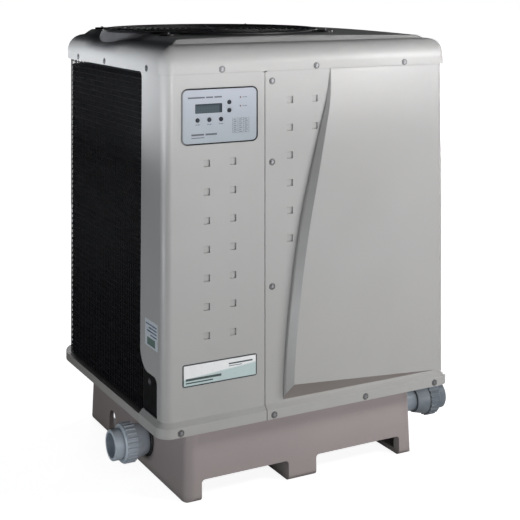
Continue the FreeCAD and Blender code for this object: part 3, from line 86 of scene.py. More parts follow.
# ---------------------------------------------------------------- node helpers
class Shader:
    """Small wrapper that adds and links shader nodes."""

    def __init__(self, name):
        self.material = bpy.data.materials.new(name)
        self.material.use_nodes = True
        self.tree = self.material.node_tree
        self.tree.nodes.clear()
        self.out = self.add("ShaderNodeOutputMaterial")
        self.coords = self.add("ShaderNodeTexCoord").outputs["Object"]

    def add(self, kind, **values):
        node = self.tree.nodes.new(kind)
        for key, value in values.items():
            setattr(node, key, value)
        return node

    def link(self, source, target):
        if isinstance(source, bpy.types.NodeSocket):
            self.tree.links.new(source, target)
        else:
            target.default_value = source

    def noise(self, scale, detail=3.0, rough=0.5, coords=None):
        node = self.add("ShaderNodeTexNoise")
        node.inputs["Scale"].default_value = scale
        node.inputs["Detail"].default_value = detail
        node.inputs["Roughness"].default_value = rough
        self.link(coords or self.coords, node.inputs["Vector"])
        return node.outputs["Fac"]

    def cells(self, scale, coords=None):
        node = self.add("ShaderNodeTexVoronoi")
        node.inputs["Scale"].default_value = scale
        self.link(coords or self.coords, node.inputs["Vector"])
        return node.outputs["Distance"]

    def stretched(self, x, y, z):
        node = self.add("ShaderNodeVectorMath", operation="MULTIPLY")
        self.link(self.coords, node.inputs[0])
        node.inputs[1].default_value = (x, y, z)
        return node.outputs[0]

    def spread(self, value, low, high, to_low=0.0, to_high=1.0):
        node = self.add("ShaderNodeMapRange")
        node.clamp = True
        self.link(value, node.inputs["Value"])
        node.inputs["From Min"].default_value = low
        node.inputs["From Max"].default_value = high
        node.inputs["To Min"].default_value = to_low
        node.inputs["To Max"].default_value = to_high
        return node.outputs[0]

    def math(self, operation, a, b=0.0):
        node = self.add("ShaderNodeMath", operation=operation)
        self.link(a, node.inputs[0])
        self.link(b, node.inputs[1])
        return node.outputs[0]

    def mix(self, factor, a, b):
        node = self.add("ShaderNodeMix", data_type="RGBA")
        self.link(factor, node.inputs["Factor"])
        self.link(colour(a), node.inputs["A"]) if not is_socket(a) else self.link(a, node.inputs["A"])
        self.link(colour(b), node.inputs["B"]) if not is_socket(b) else self.link(b, node.inputs["B"])
        return node.outputs["Result"]

    def axis(self, index):
        node = self.add("ShaderNodeSeparateXYZ")
        self.link(self.coords, node.inputs[0])
        return node.outputs[index]

    def edges(self, radius, low=0.02, high=0.35):
        """1 along convex and concave edges, 0 on open faces."""
        bevel = self.add("ShaderNodeBevel", samples=4)
        bevel.inputs["Radius"].default_value = radius
        plain = self.add("ShaderNodeNewGeometry")
        dot = self.add("ShaderNodeVectorMath", operation="DOT_PRODUCT")
        self.link(bevel.outputs[0], dot.inputs[0])
        self.link(plain.outputs["Normal"], dot.inputs[1])
        return self.spread(self.math("SUBTRACT", 1.0, dot.outputs["Value"]), low, high)

    def facing_down(self, low=0.25, high=0.6):
        """1 on undersides, 0 on upright and upward faces."""
        normal = self.add("ShaderNodeSeparateXYZ")
        self.link(self.add("ShaderNodeNewGeometry").outputs["Normal"], normal.inputs[0])
        return self.spread(normal.outputs[2], -high, -low, 1.0, 0.0)

    def sheltered(self, reach, low=0.55, high=0.95):
        """1 deep in corners and pockets, 0 in the open."""
        node = self.add("ShaderNodeAmbientOcclusion", samples=6)
        node.inputs["Distance"].default_value = reach
        return self.spread(node.outputs["AO"], low, high, 1.0, 0.0)

    def finish(self, base, rough, metal=0.0, bumps=(), bevel=0.0, coat=0.0, emission=None,
               specular=0.5):
        """Principled surface; bumps holds (height, distance in metres, strength)."""
        shader = self.add("ShaderNodeBsdfPrincipled")
        self.link(base if is_socket(base) else colour(base), shader.inputs["Base Color"])
        self.link(rough, shader.inputs["Roughness"])
        self.link(metal, shader.inputs["Metallic"])
        self.link(coat, shader.inputs["Coat Weight"])
        self.link(specular, shader.inputs["Specular IOR Level"])
        normal = None
        if bevel:
            node = self.add("ShaderNodeBevel", samples=4)
            node.inputs["Radius"].default_value = bevel
            normal = node.outputs[0]
        for height, distance, strength in bumps:
            node = self.add("ShaderNodeBump")
            node.inputs["Strength"].default_value = strength
            node.inputs["Distance"].default_value = distance
            self.link(height, node.inputs["Height"])
            if normal is not None:
                self.link(normal, node.inputs["Normal"])
            normal = node.outputs[0]
        if normal is not None:
            self.link(normal, shader.inputs["Normal"])
        if emission is not None:
            self.link(colour(emission[0]), shader.inputs["Emission Color"])
            self.link(emission[1], shader.inputs["Emission Strength"])
        self.link(shader.outputs[0], self.out.inputs["Surface"])
        return self.material


def is_socket(value):
    return isinstance(value, bpy.types.NodeSocket)


def colour(value):
    return (*value, 1.0) if len(value) == 3 else value


# ---------------------------------------------------------------- materials
COLLAR_R = (0.318, 0.345)      # painted shade round the fan is full inside the first radius, gone at the second
COLLAR_Z = (1.062, 1.078)      # and fades in between these heights
RIM_Z = (0.181, 0.185)         # where the tray's walls turn into its rim
KEYLINE = 0.0028               # width of the dark line round the trim plate
KEYLINE_BLUR = 0.0003


def cabinet_painted_shade(s, tone):
    """Painted shade: dark grey on the collar round the fan, brown on the undersides of the ledges and every
    other downward face, grey in every corner and pocket.
    """
    dx = s.math("SUBTRACT", s.axis(0), FAN_AXIS.x)
    dy = s.math("SUBTRACT", s.axis(1), FAN_AXIS.y)
    far = s.math("SQRT", s.math("ADD", s.math("MULTIPLY", dx, dx), s.math("MULTIPLY", dy, dy)))
    # painted shade on the collar round the fan, blotched by noise
    collar = s.math("MULTIPLY", s.spread(far, *COLLAR_R, 1.0, 0.0), s.spread(s.axis(2), *COLLAR_Z))
    collar = s.math("MULTIPLY", collar, s.spread(s.noise(30, 4), 0.2, 0.6, 0.75, 0.95))
    tone = s.mix(collar, tone, (0.120, 0.116, 0.124))
    # painted shade, brown, on every downward face
    tone = s.mix(s.math("MULTIPLY", s.facing_down(), 0.72), tone, (0.170, 0.125, 0.110))
    # painted shade in corners, dimples and pockets
    return s.mix(s.math("MULTIPLY", s.sheltered(0.006, 0.35, 0.8), 0.5), tone, (0.20, 0.195, 0.195))


def moulded(name, base, shade, rough=0.5, grain=0.00012, edge_wear_and_highlight=None, bevel=0.0008, dust=None,
            grime_and_painted_shade=None, specular=0.5):
    """Textured moulded plastic: leather-like grain, uneven tone, pale edges of rubbed wear and painted
    highlight, dust low down.
    """
    s = Shader(name)
    cloud = s.noise(2.3, 4)
    tone = s.mix(s.spread(cloud, 0.32, 0.68), shade, base)
    mottled = s.noise(46, 5, 0.6)
    tone = s.mix(s.spread(mottled, 0.35, 0.75, 0.0, 0.22), tone, shade)
    if dust:
        low = s.spread(s.axis(2), dust[1], dust[2], 1.0, 0.0)
        amount = s.math("MULTIPLY", low, s.spread(s.noise(9, 6, 0.65), 0.3, 0.8, 0.25, 1.0))
        tone = s.mix(amount, tone, dust[0])
    # pale edges: rubbed wear, and a painted highlight along the edges
    rubbed_and_highlit = s.math("MULTIPLY", s.edges(0.0022), s.spread(s.noise(60, 4), 0.35, 0.65))
    tone = s.mix(s.math("MULTIPLY", rubbed_and_highlit, 0.5), tone, edge_wear_and_highlight or base)
    # per-material pass of painted shade and of the material's own tone changes
    if grime_and_painted_shade:
        tone = grime_and_painted_shade(s, tone)
    peel = s.cells(620)
    fine = s.noise(1900, 2)
    uneven = s.noise(7, 4)
    roughness = s.spread(s.math("ADD", uneven, s.math("MULTIPLY", s.noise(210, 3), 0.5)),
                         0.45, 1.1, rough - 0.07, rough + 0.1)
    return s.finish(tone, roughness, bevel=bevel, specular=specular,
                    bumps=[(s.noise(5.5, 2), 0.0016, 0.25), (peel, grain, 0.55), (fine, grain * 0.5, 0.5)])


def base_rim_and_painted_shade(s, tone):
    """The tray's rim, paler and greener than the walls under it; darker brown towards the back of the left
    side; painted shade in corners and pockets.
    """
    rim = s.spread(s.axis(2), *RIM_Z)
    tone = s.mix(s.math("MULTIPLY", rim, 0.85), tone, (0.43, 0.435, 0.405))
    # darker brown towards the back of the left side
    along = s.spread(s.axis(1), -0.20, 0.25, 0.0, 0.45)
    back = s.math("MULTIPLY", along, s.spread(s.axis(0), -0.315, -0.305, 1.0, 0.0))
    tone = s.mix(back, tone, (0.150, 0.120, 0.100))
    # painted shade in corners and pockets
    return s.mix(s.math("MULTIPLY", s.sheltered(0.02), 0.45), tone, (0.12, 0.105, 0.10))


def housing_plastic():
    """Black moulded rim round the keypad, with painted light along its left edge."""
    s = Shader("housing_plastic")
    black = s.mix(s.spread(s.noise(46, 4), 0.35, 0.7), (0.012, 0.012, 0.014), (0.022, 0.023, 0.026))
    # painted light along the rim's left edge
    left = s.spread(s.axis(0), KEYPAD_LO.x - 0.0005, KEYPAD_LO.x + 0.0100, 1.0, 0.0)
    tone = s.mix(s.math("MULTIPLY", left, 0.7), black, (0.36, 0.37, 0.39))
    roughness = s.spread(s.noise(60, 3), 0.3, 0.7, 0.5, 0.65)
    return s.finish(tone, roughness, bevel=0.0004, specular=0.15, bumps=[(s.noise(900, 2), 0.00006, 0.5)])


def painted(name, base, chip, rough=0.4, flake=0.35, specular=0.5):
    """Powder coat or enamel on metal, rubbed to bare metal at its edges."""
    s = Shader(name)
    tone = s.mix(s.spread(s.noise(14, 5), 0.3, 0.7), tuple(c * 0.75 for c in base), base)
    worn = s.math("MULTIPLY", s.edges(0.0015), s.spread(s.noise(85, 5), 0.5, 0.6))
    tone = s.mix(s.math("MULTIPLY", worn, 0.8), tone, chip)
    roughness = s.spread(s.noise(30, 4), 0.3, 0.7, rough - 0.08, rough + 0.12)
    return s.finish(tone, roughness, metal=s.math("MULTIPLY", worn, 0.8), bevel=0.0006,
                    specular=specular, bumps=[(s.noise(750, 3), 0.0001, flake)])


def bare_metal(name, base, dark, rough=0.32, brush=(60, 60, 900), spangle=0.0):
    """Rolled, drawn or plated metal with fine brushing, optionally with zinc spangle."""
    s = Shader(name)
    lines = s.noise(1.0, 4, 0.6, s.stretched(*brush))
    tone = s.mix(s.spread(lines, 0.3, 0.7), dark, base)
    if spangle:
        tone = s.mix(s.spread(s.cells(95), 0.0, 0.9, 0.0, spangle), tone, dark)
    stain = s.spread(s.noise(8, 5, 0.6), 0.5, 0.75, 0.0, 0.4)
    tone = s.mix(stain, tone, tuple(c * 0.55 for c in dark))
    roughness = s.spread(s.noise(40, 4), 0.3, 0.7, rough - 0.08, rough + 0.15)
    return s.finish(tone, roughness, metal=1.0, bevel=0.0004,
                    bumps=[(lines, 0.00006, 0.4)])


def rubber(name, base=(0.02, 0.02, 0.022), rough=0.65, specular=0.5):
    s = Shader(name)
    tone = s.mix(s.spread(s.noise(70, 5), 0.35, 0.7), base, tuple(c * 1.9 + 0.01 for c in base))
    roughness = s.spread(s.noise(25, 3), 0.3, 0.7, rough - 0.1, rough + 0.12)
    return s.finish(tone, roughness, bevel=0.0006, specular=specular,
                    bumps=[(s.noise(800, 3), 0.00012, 0.5)])


def pipe_plastic():
    """Grey-blue pressure-pipe plastic with faint flow lines and scuffed ribs; painted shade in its recesses
    and over the right-hand union.
    """
    s = Shader("pipe_plastic")
    flow = s.noise(1.0, 5, 0.6, s.stretched(9, 60, 60))
    tone = s.mix(s.spread(flow, 0.3, 0.7), (0.480, 0.550, 0.625), (0.610, 0.675, 0.745))
    scuff = s.math("MULTIPLY", s.edges(0.002), s.spread(s.noise(120, 4), 0.4, 0.6))
    tone = s.mix(s.math("MULTIPLY", scuff, 0.55), tone, (0.78, 0.81, 0.84))
    grime_and_painted_shade = s.spread(s.noise(26, 6, 0.65), 0.52, 0.78, 0.0, 0.35)
    tone = s.mix(grime_and_painted_shade, tone, (0.20, 0.21, 0.205))
    # painted shade in recesses
    tone = s.mix(s.math("MULTIPLY", s.sheltered(0.016, 0.35, 0.9), 0.75), tone, (0.07, 0.075, 0.085))
    # painted shade over the right-hand union
    right_union_painted_shade = s.math("MULTIPLY", s.spread(s.axis(0), 0.30, 0.42), s.spread(s.noise(14, 4), 0.3, 0.7, 0.72, 0.86))
    tone = s.mix(right_union_painted_shade, tone, (0.070, 0.088, 0.105))
    roughness = s.spread(s.noise(34, 4), 0.3, 0.7, 0.34, 0.52)
    return s.finish(tone, roughness, bevel=0.0008,
                    bumps=[(flow, 0.00025, 0.35), (s.noise(900, 2), 0.00006, 0.4)])


def guard_vinyl():
    """Glossy black vinyl over wire, with small highlights broken by its uneven coat."""
    s = Shader("guard_vinyl")
    tone = s.mix(s.spread(s.noise(120, 4), 0.35, 0.7), (0.010, 0.010, 0.012), (0.024, 0.024, 0.028))
    roughness = s.spread(s.noise(260, 3), 0.3, 0.7, 0.22, 0.42)
    return s.finish(tone, roughness, bumps=[(s.noise(420, 3), 0.0002, 0.5)], specular=0.25)


def coil_fin():
    """Dark coated aluminium fin."""
    s = Shader("fin_aluminium")
    tone = s.mix(s.spread(s.noise(18, 5), 0.35, 0.7), (0.004, 0.004, 0.005), (0.010, 0.010, 0.012))
    roughness = s.spread(s.noise(60, 3), 0.3, 0.7, 0.45, 0.65)
    return s.finish(tone, roughness, bumps=[(s.noise(500, 2), 0.0001, 0.4)], specular=0.2)


def keypad_film():
    """Pale printed film: cool white with a soft tint towards its lower edge."""
    s = Shader("keypad_film")
    low, high = KEYPAD_LO.z, KEYPAD_HI.z
    tone = s.mix(s.spread(s.axis(2), low, high), (0.400, 0.450, 0.500), (0.450, 0.480, 0.545))
    tone = s.mix(s.spread(s.noise(30, 5), 0.45, 0.8, 0.0, 0.12), tone, (0.36, 0.40, 0.46))
    roughness = s.spread(s.noise(50, 3), 0.3, 0.7, 0.28, 0.4)
    return s.finish(tone, roughness, bevel=0.0004, bumps=[(s.noise(1500, 2), 0.00003, 0.4)], specular=0.35)


def plate_film():
    """Blank trim plate: dark keyline, white upper field and pale green lower field."""
    s = Shader("plate_film")
    x, z = s.axis(0), s.axis(2)

    def outside(value, low, high):
        low, high = low + KEYLINE, high - KEYLINE
        below = s.spread(value, low - KEYLINE_BLUR, low + KEYLINE_BLUR, 1.0, 0.0)
        above = s.spread(value, high - KEYLINE_BLUR, high + KEYLINE_BLUR, 0.0, 1.0)
        return s.math("MAXIMUM", below, above)
    key_line = s.math("MAXIMUM", outside(x, NAME_LO.x, NAME_HI.x), outside(z, NAME_LO.z, NAME_HI.z))
    rise = s.spread(x, NAME_LO.x, NAME_HI.x, 0.0, 0.30 * (NAME_HI.z - NAME_LO.z))
    split = NAME_LO.z + 0.34 * (NAME_HI.z - NAME_LO.z)
    z_field = s.math("SUBTRACT", z, rise)
    field = s.mix(s.spread(z_field, split - 0.002, split + 0.002), (0.56, 0.68, 0.68), (0.97, 0.98, 0.99))
    field = s.mix(s.spread(s.noise(40, 5), 0.45, 0.8, 0.0, 0.15), field, (0.66, 0.70, 0.70))
    tone = s.mix(key_line, field, (0.035, 0.045, 0.05))
    roughness = s.spread(s.noise(60, 3), 0.3, 0.7, 0.25, 0.38)
    return s.finish(tone, roughness, bevel=0.0003, bumps=[(s.noise(1200, 2), 0.00003, 0.4)], coat=0.3)


def display_glass():
    """Dark display with a faint row-and-column cell pattern behind its window, and a painted shadow along its
    top and right edges.
    """
    s = Shader("display_glass")
    lo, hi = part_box("display_window")
    brick = s.add("ShaderNodeTexBrick")
    brick.offset = 0.0
    brick.inputs["Scale"].default_value = 1.0
    brick.inputs["Brick Width"].default_value = 0.0041
    brick.inputs["Row Height"].default_value = 0.0085
    brick.inputs["Mortar Size"].default_value = 0.0006
    swap = s.add("ShaderNodeCombineXYZ")
    s.link(s.axis(0), swap.inputs[0])
    s.link(s.axis(2), swap.inputs[1])
    s.link(swap.outputs[0], brick.inputs["Vector"])
    cells = s.mix(brick.outputs["Fac"], (0.070, 0.095, 0.115), (0.050, 0.070, 0.085))
    fade = s.spread(s.axis(2), lo.z, hi.z, 0.5, 0.0)
    tone = s.mix(fade, cells, (0.085, 0.115, 0.135))
    # painted shadow along the top and right edges, where the recess shades the display
    top = s.spread(s.axis(2), hi.z - 0.005, hi.z - 0.001)
    right = s.spread(s.axis(0), hi.x - 0.010, hi.x - 0.002)
    shade = s.math("MULTIPLY", s.math("MAXIMUM", top, right), 0.85)
    tone = s.mix(shade, tone, (0.012, 0.018, 0.024))
    roughness = s.spread(s.noise(80, 3), 0.3, 0.7, 0.42, 0.55)
    return s.finish(tone, roughness, bevel=0.0003, specular=0.15)


def light_lens():
    s = Shader("light_plastic")
    tone = s.mix(s.spread(s.cells(900), 0.0, 0.8), (0.30, 0.10, 0.08), (0.10, 0.05, 0.05))
    return s.finish(tone, s.spread(s.noise(300, 2), 0.3, 0.7, 0.15, 0.3), coat=0.5)


def board_green():
    """Circuit board lacquer with copper tracks showing through."""
    s = Shader("board_green")
    tracks = s.add("ShaderNodeTexBrick")
    tracks.inputs["Scale"].default_value = 160.0
    swap = s.add("ShaderNodeCombineXYZ")
    s.link(s.axis(0), swap.inputs[0])
    s.link(s.axis(2), swap.inputs[1])
    s.link(swap.outputs[0], tracks.inputs["Vector"])
    tone = s.mix(tracks.outputs["Fac"], (0.02, 0.10, 0.045), (0.05, 0.20, 0.08))
    return s.finish(tone, s.spread(s.noise(90, 3), 0.3, 0.7, 0.3, 0.45), coat=0.3)


def ink(name, base):
    """Printed ink, slightly uneven in coverage."""
    s = Shader(name)
    tone = s.mix(s.spread(s.noise(900, 3), 0.35, 0.7), base, tuple(min(1, c * 1.5 + 0.03) for c in base))
    return s.finish(tone, s.spread(s.noise(200, 2), 0.3, 0.7, 0.4, 0.55))


PANEL = (0.490, 0.486, 0.484)
PANEL_SHADE = (0.455, 0.450, 0.445)
TAUPE = (0.400, 0.345, 0.345)
TAUPE_SHADE = (0.350, 0.300, 0.300)

MATERIALS = {
    "panel_plastic": moulded("panel_plastic", PANEL, PANEL_SHADE, 0.36, edge_wear_and_highlight=(0.72, 0.72, 0.71),
                             dust=((0.42, 0.415, 0.395), 0.17, 0.55), grime_and_painted_shade=cabinet_painted_shade),
    "base_plastic": moulded("base_plastic", TAUPE, TAUPE_SHADE, 0.5, edge_wear_and_highlight=(0.46, 0.41, 0.40),
                            dust=((0.33, 0.30, 0.28), 0.0, 0.10), grime_and_painted_shade=base_rim_and_painted_shade),
    "black_metal": painted("black_metal", (0.007, 0.007, 0.008), (0.10, 0.10, 0.105), 0.55,
                           specular=0.15),
    "black_plastic": moulded("black_plastic", (0.022, 0.022, 0.024), (0.014, 0.014, 0.016), 0.42,
                             edge_wear_and_highlight=(0.09, 0.09, 0.095)),
    "zinc_steel": bare_metal("zinc_steel", (0.42, 0.42, 0.44), (0.26, 0.26, 0.28), 0.38),
    "fan_plastic": moulded("fan_plastic", (0.045, 0.045, 0.048), (0.03, 0.03, 0.033), 0.45,
                           edge_wear_and_highlight=(0.14, 0.14, 0.145)),
    "motor_paint": painted("motor_paint", (0.035, 0.035, 0.038), (0.4, 0.4, 0.41), 0.35),
    "galvanised_steel": bare_metal("galvanised_steel", (0.60, 0.62, 0.63), (0.42, 0.44, 0.45), 0.4,
                                   spangle=0.5),
    "fin_aluminium": coil_fin(),
    "copper": bare_metal("copper", (0.80, 0.42, 0.27), (0.55, 0.26, 0.16), 0.3, (200, 200, 200)),
    "guard_vinyl": guard_vinyl(),
    "compressor_paint": painted("compressor_paint", (0.02, 0.02, 0.022), (0.3, 0.3, 0.31), 0.3),
    "black_rubber": rubber("black_rubber"),
    "exchanger_plastic": moulded("exchanger_plastic", (0.06, 0.06, 0.064), (0.04, 0.04, 0.043), 0.5),
    "titanium": bare_metal("titanium", (0.52, 0.50, 0.48), (0.38, 0.36, 0.34), 0.3),
    "brass": bare_metal("brass", (0.80, 0.62, 0.30), (0.58, 0.42, 0.18), 0.28),
    "drier_paint": painted("drier_paint", (0.50, 0.50, 0.47), (0.5, 0.5, 0.5), 0.4),
    "pipe_plastic": pipe_plastic(),
    "contact_plastic": moulded("contact_plastic", (0.68, 0.66, 0.58), (0.60, 0.57, 0.49), 0.4),
    "capacitor_aluminium": bare_metal("capacitor_aluminium", (0.78, 0.78, 0.80), (0.6, 0.6, 0.62)),
    "transformer_steel": painted("transformer_steel", (0.12, 0.11, 0.11), (0.4, 0.4, 0.4), 0.45),
    "cable_rubber": rubber("cable_rubber", (0.018, 0.018, 0.02), 0.5),
    "keypad_film": keypad_film(),
    "display_glass": display_glass(),
    "light_plastic": light_lens(),
    "board_green": board_green(),
    "plate_film": plate_film(),
    "key_rubber": rubber("key_rubber", (0.012, 0.015, 0.024), 0.42, 0.2),
}


SPECIAL = {"control_housing": housing_plastic()}


def dress_cad_nodes():
    """Every CAD node takes the node material of its slot."""
    slots = {entry["node"]: entry["material_slot"] for entry in frame["record"]["subparts"]}
    for name, node in NODES.items():
        node.data.materials.clear()
        node.data.materials.append(SPECIAL.get(name) or MATERIALS[slots[name]])
        smooth_shading(node.data)


def smooth_shading(mesh, angle=30.0):
    """Smooth faces with sharp edges above the angle."""
    mesh.polygons.foreach_set("use_smooth", [True] * len(mesh.polygons))
    mesh.set_sharp_from_angle(angle=math.radians(angle))


# ---------------------------------------------------------------- mesh helpers
def add_mesh(name, vertices, faces, material, smooth=None):
    """A new piece of one material that rides on the cabinet."""
    mesh = bpy.data.meshes.new(name)
    mesh.from_pydata(vertices, [], faces)
    mesh.materials.append(material)
    mesh.validate()
    if smooth:
        smooth_shading(mesh, smooth)
    piece = bpy.data.objects.new(name, mesh)
    bpy.context.scene.collection.objects.link(piece)
    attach(piece, "chassis")
    return piece


def box_mesh(x0, x1, y0, y1, z0, z1, start):
    """Vertices and faces of one box, faces counted from start."""
    vertices = [(x, y, z) for x in (x0, x1) for y in (y0, y1) for z in (z0, z1)]
    quads = ((0, 1, 3, 2), (4, 6, 7, 5), (0, 4, 5, 1), (2, 3, 7, 6), (0, 2, 6, 4), (1, 5, 7, 3))
    return vertices, [tuple(start + i for i in quad) for quad in quads]


FIN_INSET = 0.0082         # leading edges, in from the cabinet's outline
FIN_PITCH = 0.0034
FIN_DEPTH = 0.040
FIN_THICK = 0.0005
FIN_LEVELS = 12
FIN_RIPPLE = 0.0006


def outline_points(inward, pitch):
    """Points and outward directions along left side, back and right side of the cabinet."""
    x = HALF_W - inward
    back = HALF_D - inward
    radius = CORNER_R - inward
    front = FIN_LO.y
    points = []

    def straight(a, b, normal):
        steps = max(1, round((b - a).length / pitch))
        points.extend((a + (b - a) * (i / steps), normal) for i in range(steps))

    def corner(centre, start_angle, end_angle):
        steps = max(1, round(radius * math.pi / 2 / pitch))
        for i in range(steps):
            a = math.radians(start_angle + (end_angle - start_angle) * i / steps)
            normal = Vector((math.cos(a), math.sin(a)))
            points.append((centre + normal * radius, normal))
    cy = back - radius
    straight(Vector((-x, front + 0.001)), Vector((-x, cy)), Vector((-1, 0)))
    corner(Vector((-x + radius, cy)), 180, 90)
    straight(Vector((-x + radius, back)), Vector((x - radius, back)), Vector((0, 1)))
    corner(Vector((x - radius, cy)), 90, 0)
    straight(Vector((x, cy)), Vector((x, front + 0.001)), Vector((1, 0)))
    return points


def coil_fins():
    """Fin pack: thin upright fins all round the U, each with a rippled leading edge."""
    vertices, faces = [], []
    z0, z1 = FIN_LO.z, FIN_HI.z
    for index, (point, normal) in enumerate(outline_points(FIN_INSET, FIN_PITCH)):
        side = Vector((-normal.y, normal.x)) * FIN_THICK / 2
        start = len(vertices)
        for level in range(FIN_LEVELS + 1):
            z = z0 + (z1 - z0) * level / FIN_LEVELS
            ripple = FIN_RIPPLE * math.sin(index * 1.7 + level * 0.9)
            outer = point - normal * (0.0002 + abs(ripple))
            inner = point - normal * FIN_DEPTH
            bend = side.normalized() * ripple
            for corner in (outer + side + bend, outer - side + bend, inner - side, inner + side):
                vertices.append((corner.x, corner.y, z))
        for level in range(FIN_LEVELS):
            a = start + level * 4
            for k in range(4):
                faces.append((a + k, a + (k + 1) % 4, a + 4 + (k + 1) % 4, a + 4 + k))
        faces.append((start + 3, start + 2, start + 1, start))
        top = start + FIN_LEVELS * 4
        faces.append((top, top + 1, top + 2, top + 3))
    piece = add_mesh("coil_fin_pack", vertices, faces, MATERIALS["fin_aluminium"])
    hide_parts("evaporator_fins")


def screw_places(node):
    """Outer end and outward direction of every screw in a node of loose screws."""
    shape = bmesh.new()
    shape.from_mesh(node.data)
    left = set(shape.verts)
    places = []
    while left:
        front = [left.pop()]
        island = []
        while front:
            vertex = front.pop()
            island.append(vertex.co.copy())
            for edge in vertex.link_edges:
                other = edge.other_vert(vertex)
                if other in left:
                    left.remove(other)
                    front.append(other)
        low = Vector([min(v[i] for v in island) for i in range(3)])
        high = Vector([max(v[i] for v in island) for i in range(3)])
        middle = (low + high) / 2
        if abs(middle.x) > HALF_W - 0.01:
            out = Vector((math.copysign(1, middle.x), 0, 0))
        else:
            out = Vector((0, math.copysign(1, middle.y), 0))
        tip = middle + out * max(abs((high - middle).dot(out)), abs((low - middle).dot(out)))
        places.append((tip, out))
    shape.free()
    return sorted(places, key=lambda place: tuple(round(c, 5) for c in place[0]))


SHADOW_RING_PROFILE = (           # (radius, height over the panel) round a ring's section
    (0.00475, 0.0001), (0.00475, 0.0004), (0.0050, 0.0006), (0.0054, 0.0005), (0.0056, 0.0001))
SHADOW_RING_SIDES = 28
SCREW_HEAD = 0.003         # height of a cabinet screw's head


def screw_shadow_rings():
    """Dark grey rubber rings round the heads of the cabinet's screws: a painted shadow round each head."""
    vertices, faces = [], []
    for tip, out in screw_places(NODES["panel_screws"]):
        seat = tip - out * SCREW_HEAD
        across = Vector((0, 0, 1)).cross(out)
        start = len(vertices)
        for k in range(SHADOW_RING_SIDES):
            a = 2 * math.pi * k / SHADOW_RING_SIDES
            spoke = across * math.cos(a) + Vector((0, 0, 1)) * math.sin(a)
            vertices += [tuple(seat + spoke * r + out * h) for r, h in SHADOW_RING_PROFILE]
        count = len(SHADOW_RING_PROFILE)
        for k in range(SHADOW_RING_SIDES):
            for i in range(count):
                j = (i + 1) % count
                a, b = start + k * count, start + (k + 1) % SHADOW_RING_SIDES * count
                faces.append((a + i, b + i, b + j, a + j))
    # dark grey rings stand in for the shadow round each screw head
    grey = rubber("screw_shadow_rubber", (0.075, 0.075, 0.078), 0.6, 0.2)
    add_mesh("screw_shadow_rings", vertices, faces, grey, smooth=50)


# ---------------------------------------------------------------- printed marks
PRINT_LIFT = 0.00012       # print stands this far proud of the face
PRINT_SUNK = 0.0002        # and reaches this far into it


def from_corner(x_mm):
    """X of a point this many millimetres from the cabinet's front left corner."""
    return -HALF_W + x_mm / 1000


def print_marks(name, bars, y, material):
    """Thin printed bars on a front face; each bar is (x0, x1, z0, z1) in metres."""
    vertices, faces = [], []
    for x0, x1, z0, z1 in bars:
        v, f = box_mesh(x0, x1, y - PRINT_LIFT, y + PRINT_SUNK, z0, z1, len(vertices))
        vertices += v
        faces += f
    return add_mesh(name, vertices, faces, material)


def keypad_marks():
    """Unlettered marks on the keypad: heading rule, key captions as dashes, and a ruled table."""
    y = KEYPAD_LO.y
    dark = ink("ink_dark", (0.07, 0.08, 0.10))
    bars = []

    def dashes(x, z, lengths, height=0.0016, gap=0.0014):
        at = x
        for length in lengths:
            bars.append((at, at + length, z, z + height))
            at += length + gap
    for x, z in ((87, 920), (118, 920), (149, 920)):
        dashes(from_corner(x) - 0.0055, (z - 11.5) / 1000, (0.004, 0.0055))
    for z in (970, 949):
        dashes(from_corner(207), z / 1000 - 0.0008, (0.004, 0.006))
    dashes(from_corner(62), 0.9715, (0.044, 0.019, 0.020), 0.0036, 0.003)
    dashes(from_corner(71), 0.8835, (0.033, 0.030), 0.0042, 0.004)
    dashes(from_corner(71), 0.8775, (0.034,), 0.0018)
    table = (from_corner(179), from_corner(224), 0.885, 0.920)
    line = 0.0005
    for i in range(8):
        z = table[2] + (table[3] - table[2]) * i / 7
        bars.append((table[0], table[1], z, z + line))
    for i in range(4):
        x = table[0] + (table[1] - table[0]) * i / 3
        bars.append((x, x + line, table[2], table[3] + line))
    for row in range(7):
        for column in range(3):
            x = table[0] + 0.0035 + 0.015 * column
            z = table[2] + 0.0018 + (table[3] - table[2]) * row / 7
            bars.append((x, x + 0.006 + 0.002 * ((row + column) % 2), z, z + 0.0012))
    print_marks("keypad_marks", bars, y, dark)


def plate_marks():
    """Plain stripes on the trim plate where a maker would print a name."""
    shade = ink("plate_ink", (0.030, 0.055, 0.052))
    bars = [(from_corner(57), from_corner(150), 0.3080, 0.3135),
            (from_corner(57), from_corner(128), 0.3015, 0.3045),
            (from_corner(170), from_corner(234), 0.3315, 0.3350),
            (from_corner(170), from_corner(205), 0.3270, 0.3285)]
    print_marks("plate_marks", bars, NAME_LO.y, shade)


LABEL_BOX = (-0.333, -0.257, 0.376, 0.440)     # low and high y, low and high z


def side_label():
    """Blank label with plain bars on the left strip."""
    x = -HALF_W
    pale = ink("label_pale", (0.52, 0.56, 0.60))
    v, f = box_mesh(x - 0.0003, x + 0.0002, *LABEL_BOX, 0)
    add_mesh("side_label", v, f, pale)
    blue = ink("label_blue", (0.05, 0.08, 0.16))
    green = ink("label_green", (0.10, 0.16, 0.14))
    for name, bars, material in (
            ("side_label_bars", [(-0.327, -0.262, 0.428, 0.431), (-0.327, -0.280, 0.420, 0.423),
                                 (-0.327, -0.268, 0.412, 0.415), (-0.327, -0.290, 0.404, 0.407)], blue),
            ("side_label_block", [(-0.318, -0.270, 0.380, 0.398)], green)):
        vertices, faces = [], []
        for b0, b1, c0, c1 in bars:
            v, f = box_mesh(x - 0.00042, x - 0.0002, b0, b1, c0, c1, len(vertices))
            vertices += v
            faces += f
        add_mesh(name, vertices, faces, material)


# ---------------------------------------------------------------- stage, light, camera
FLOOR_SIZE = 30.0
FLOOR_GLOW = 0.90          # seen by the camera only, so the floor reads as white paper
FAR_GLOW = 1.02


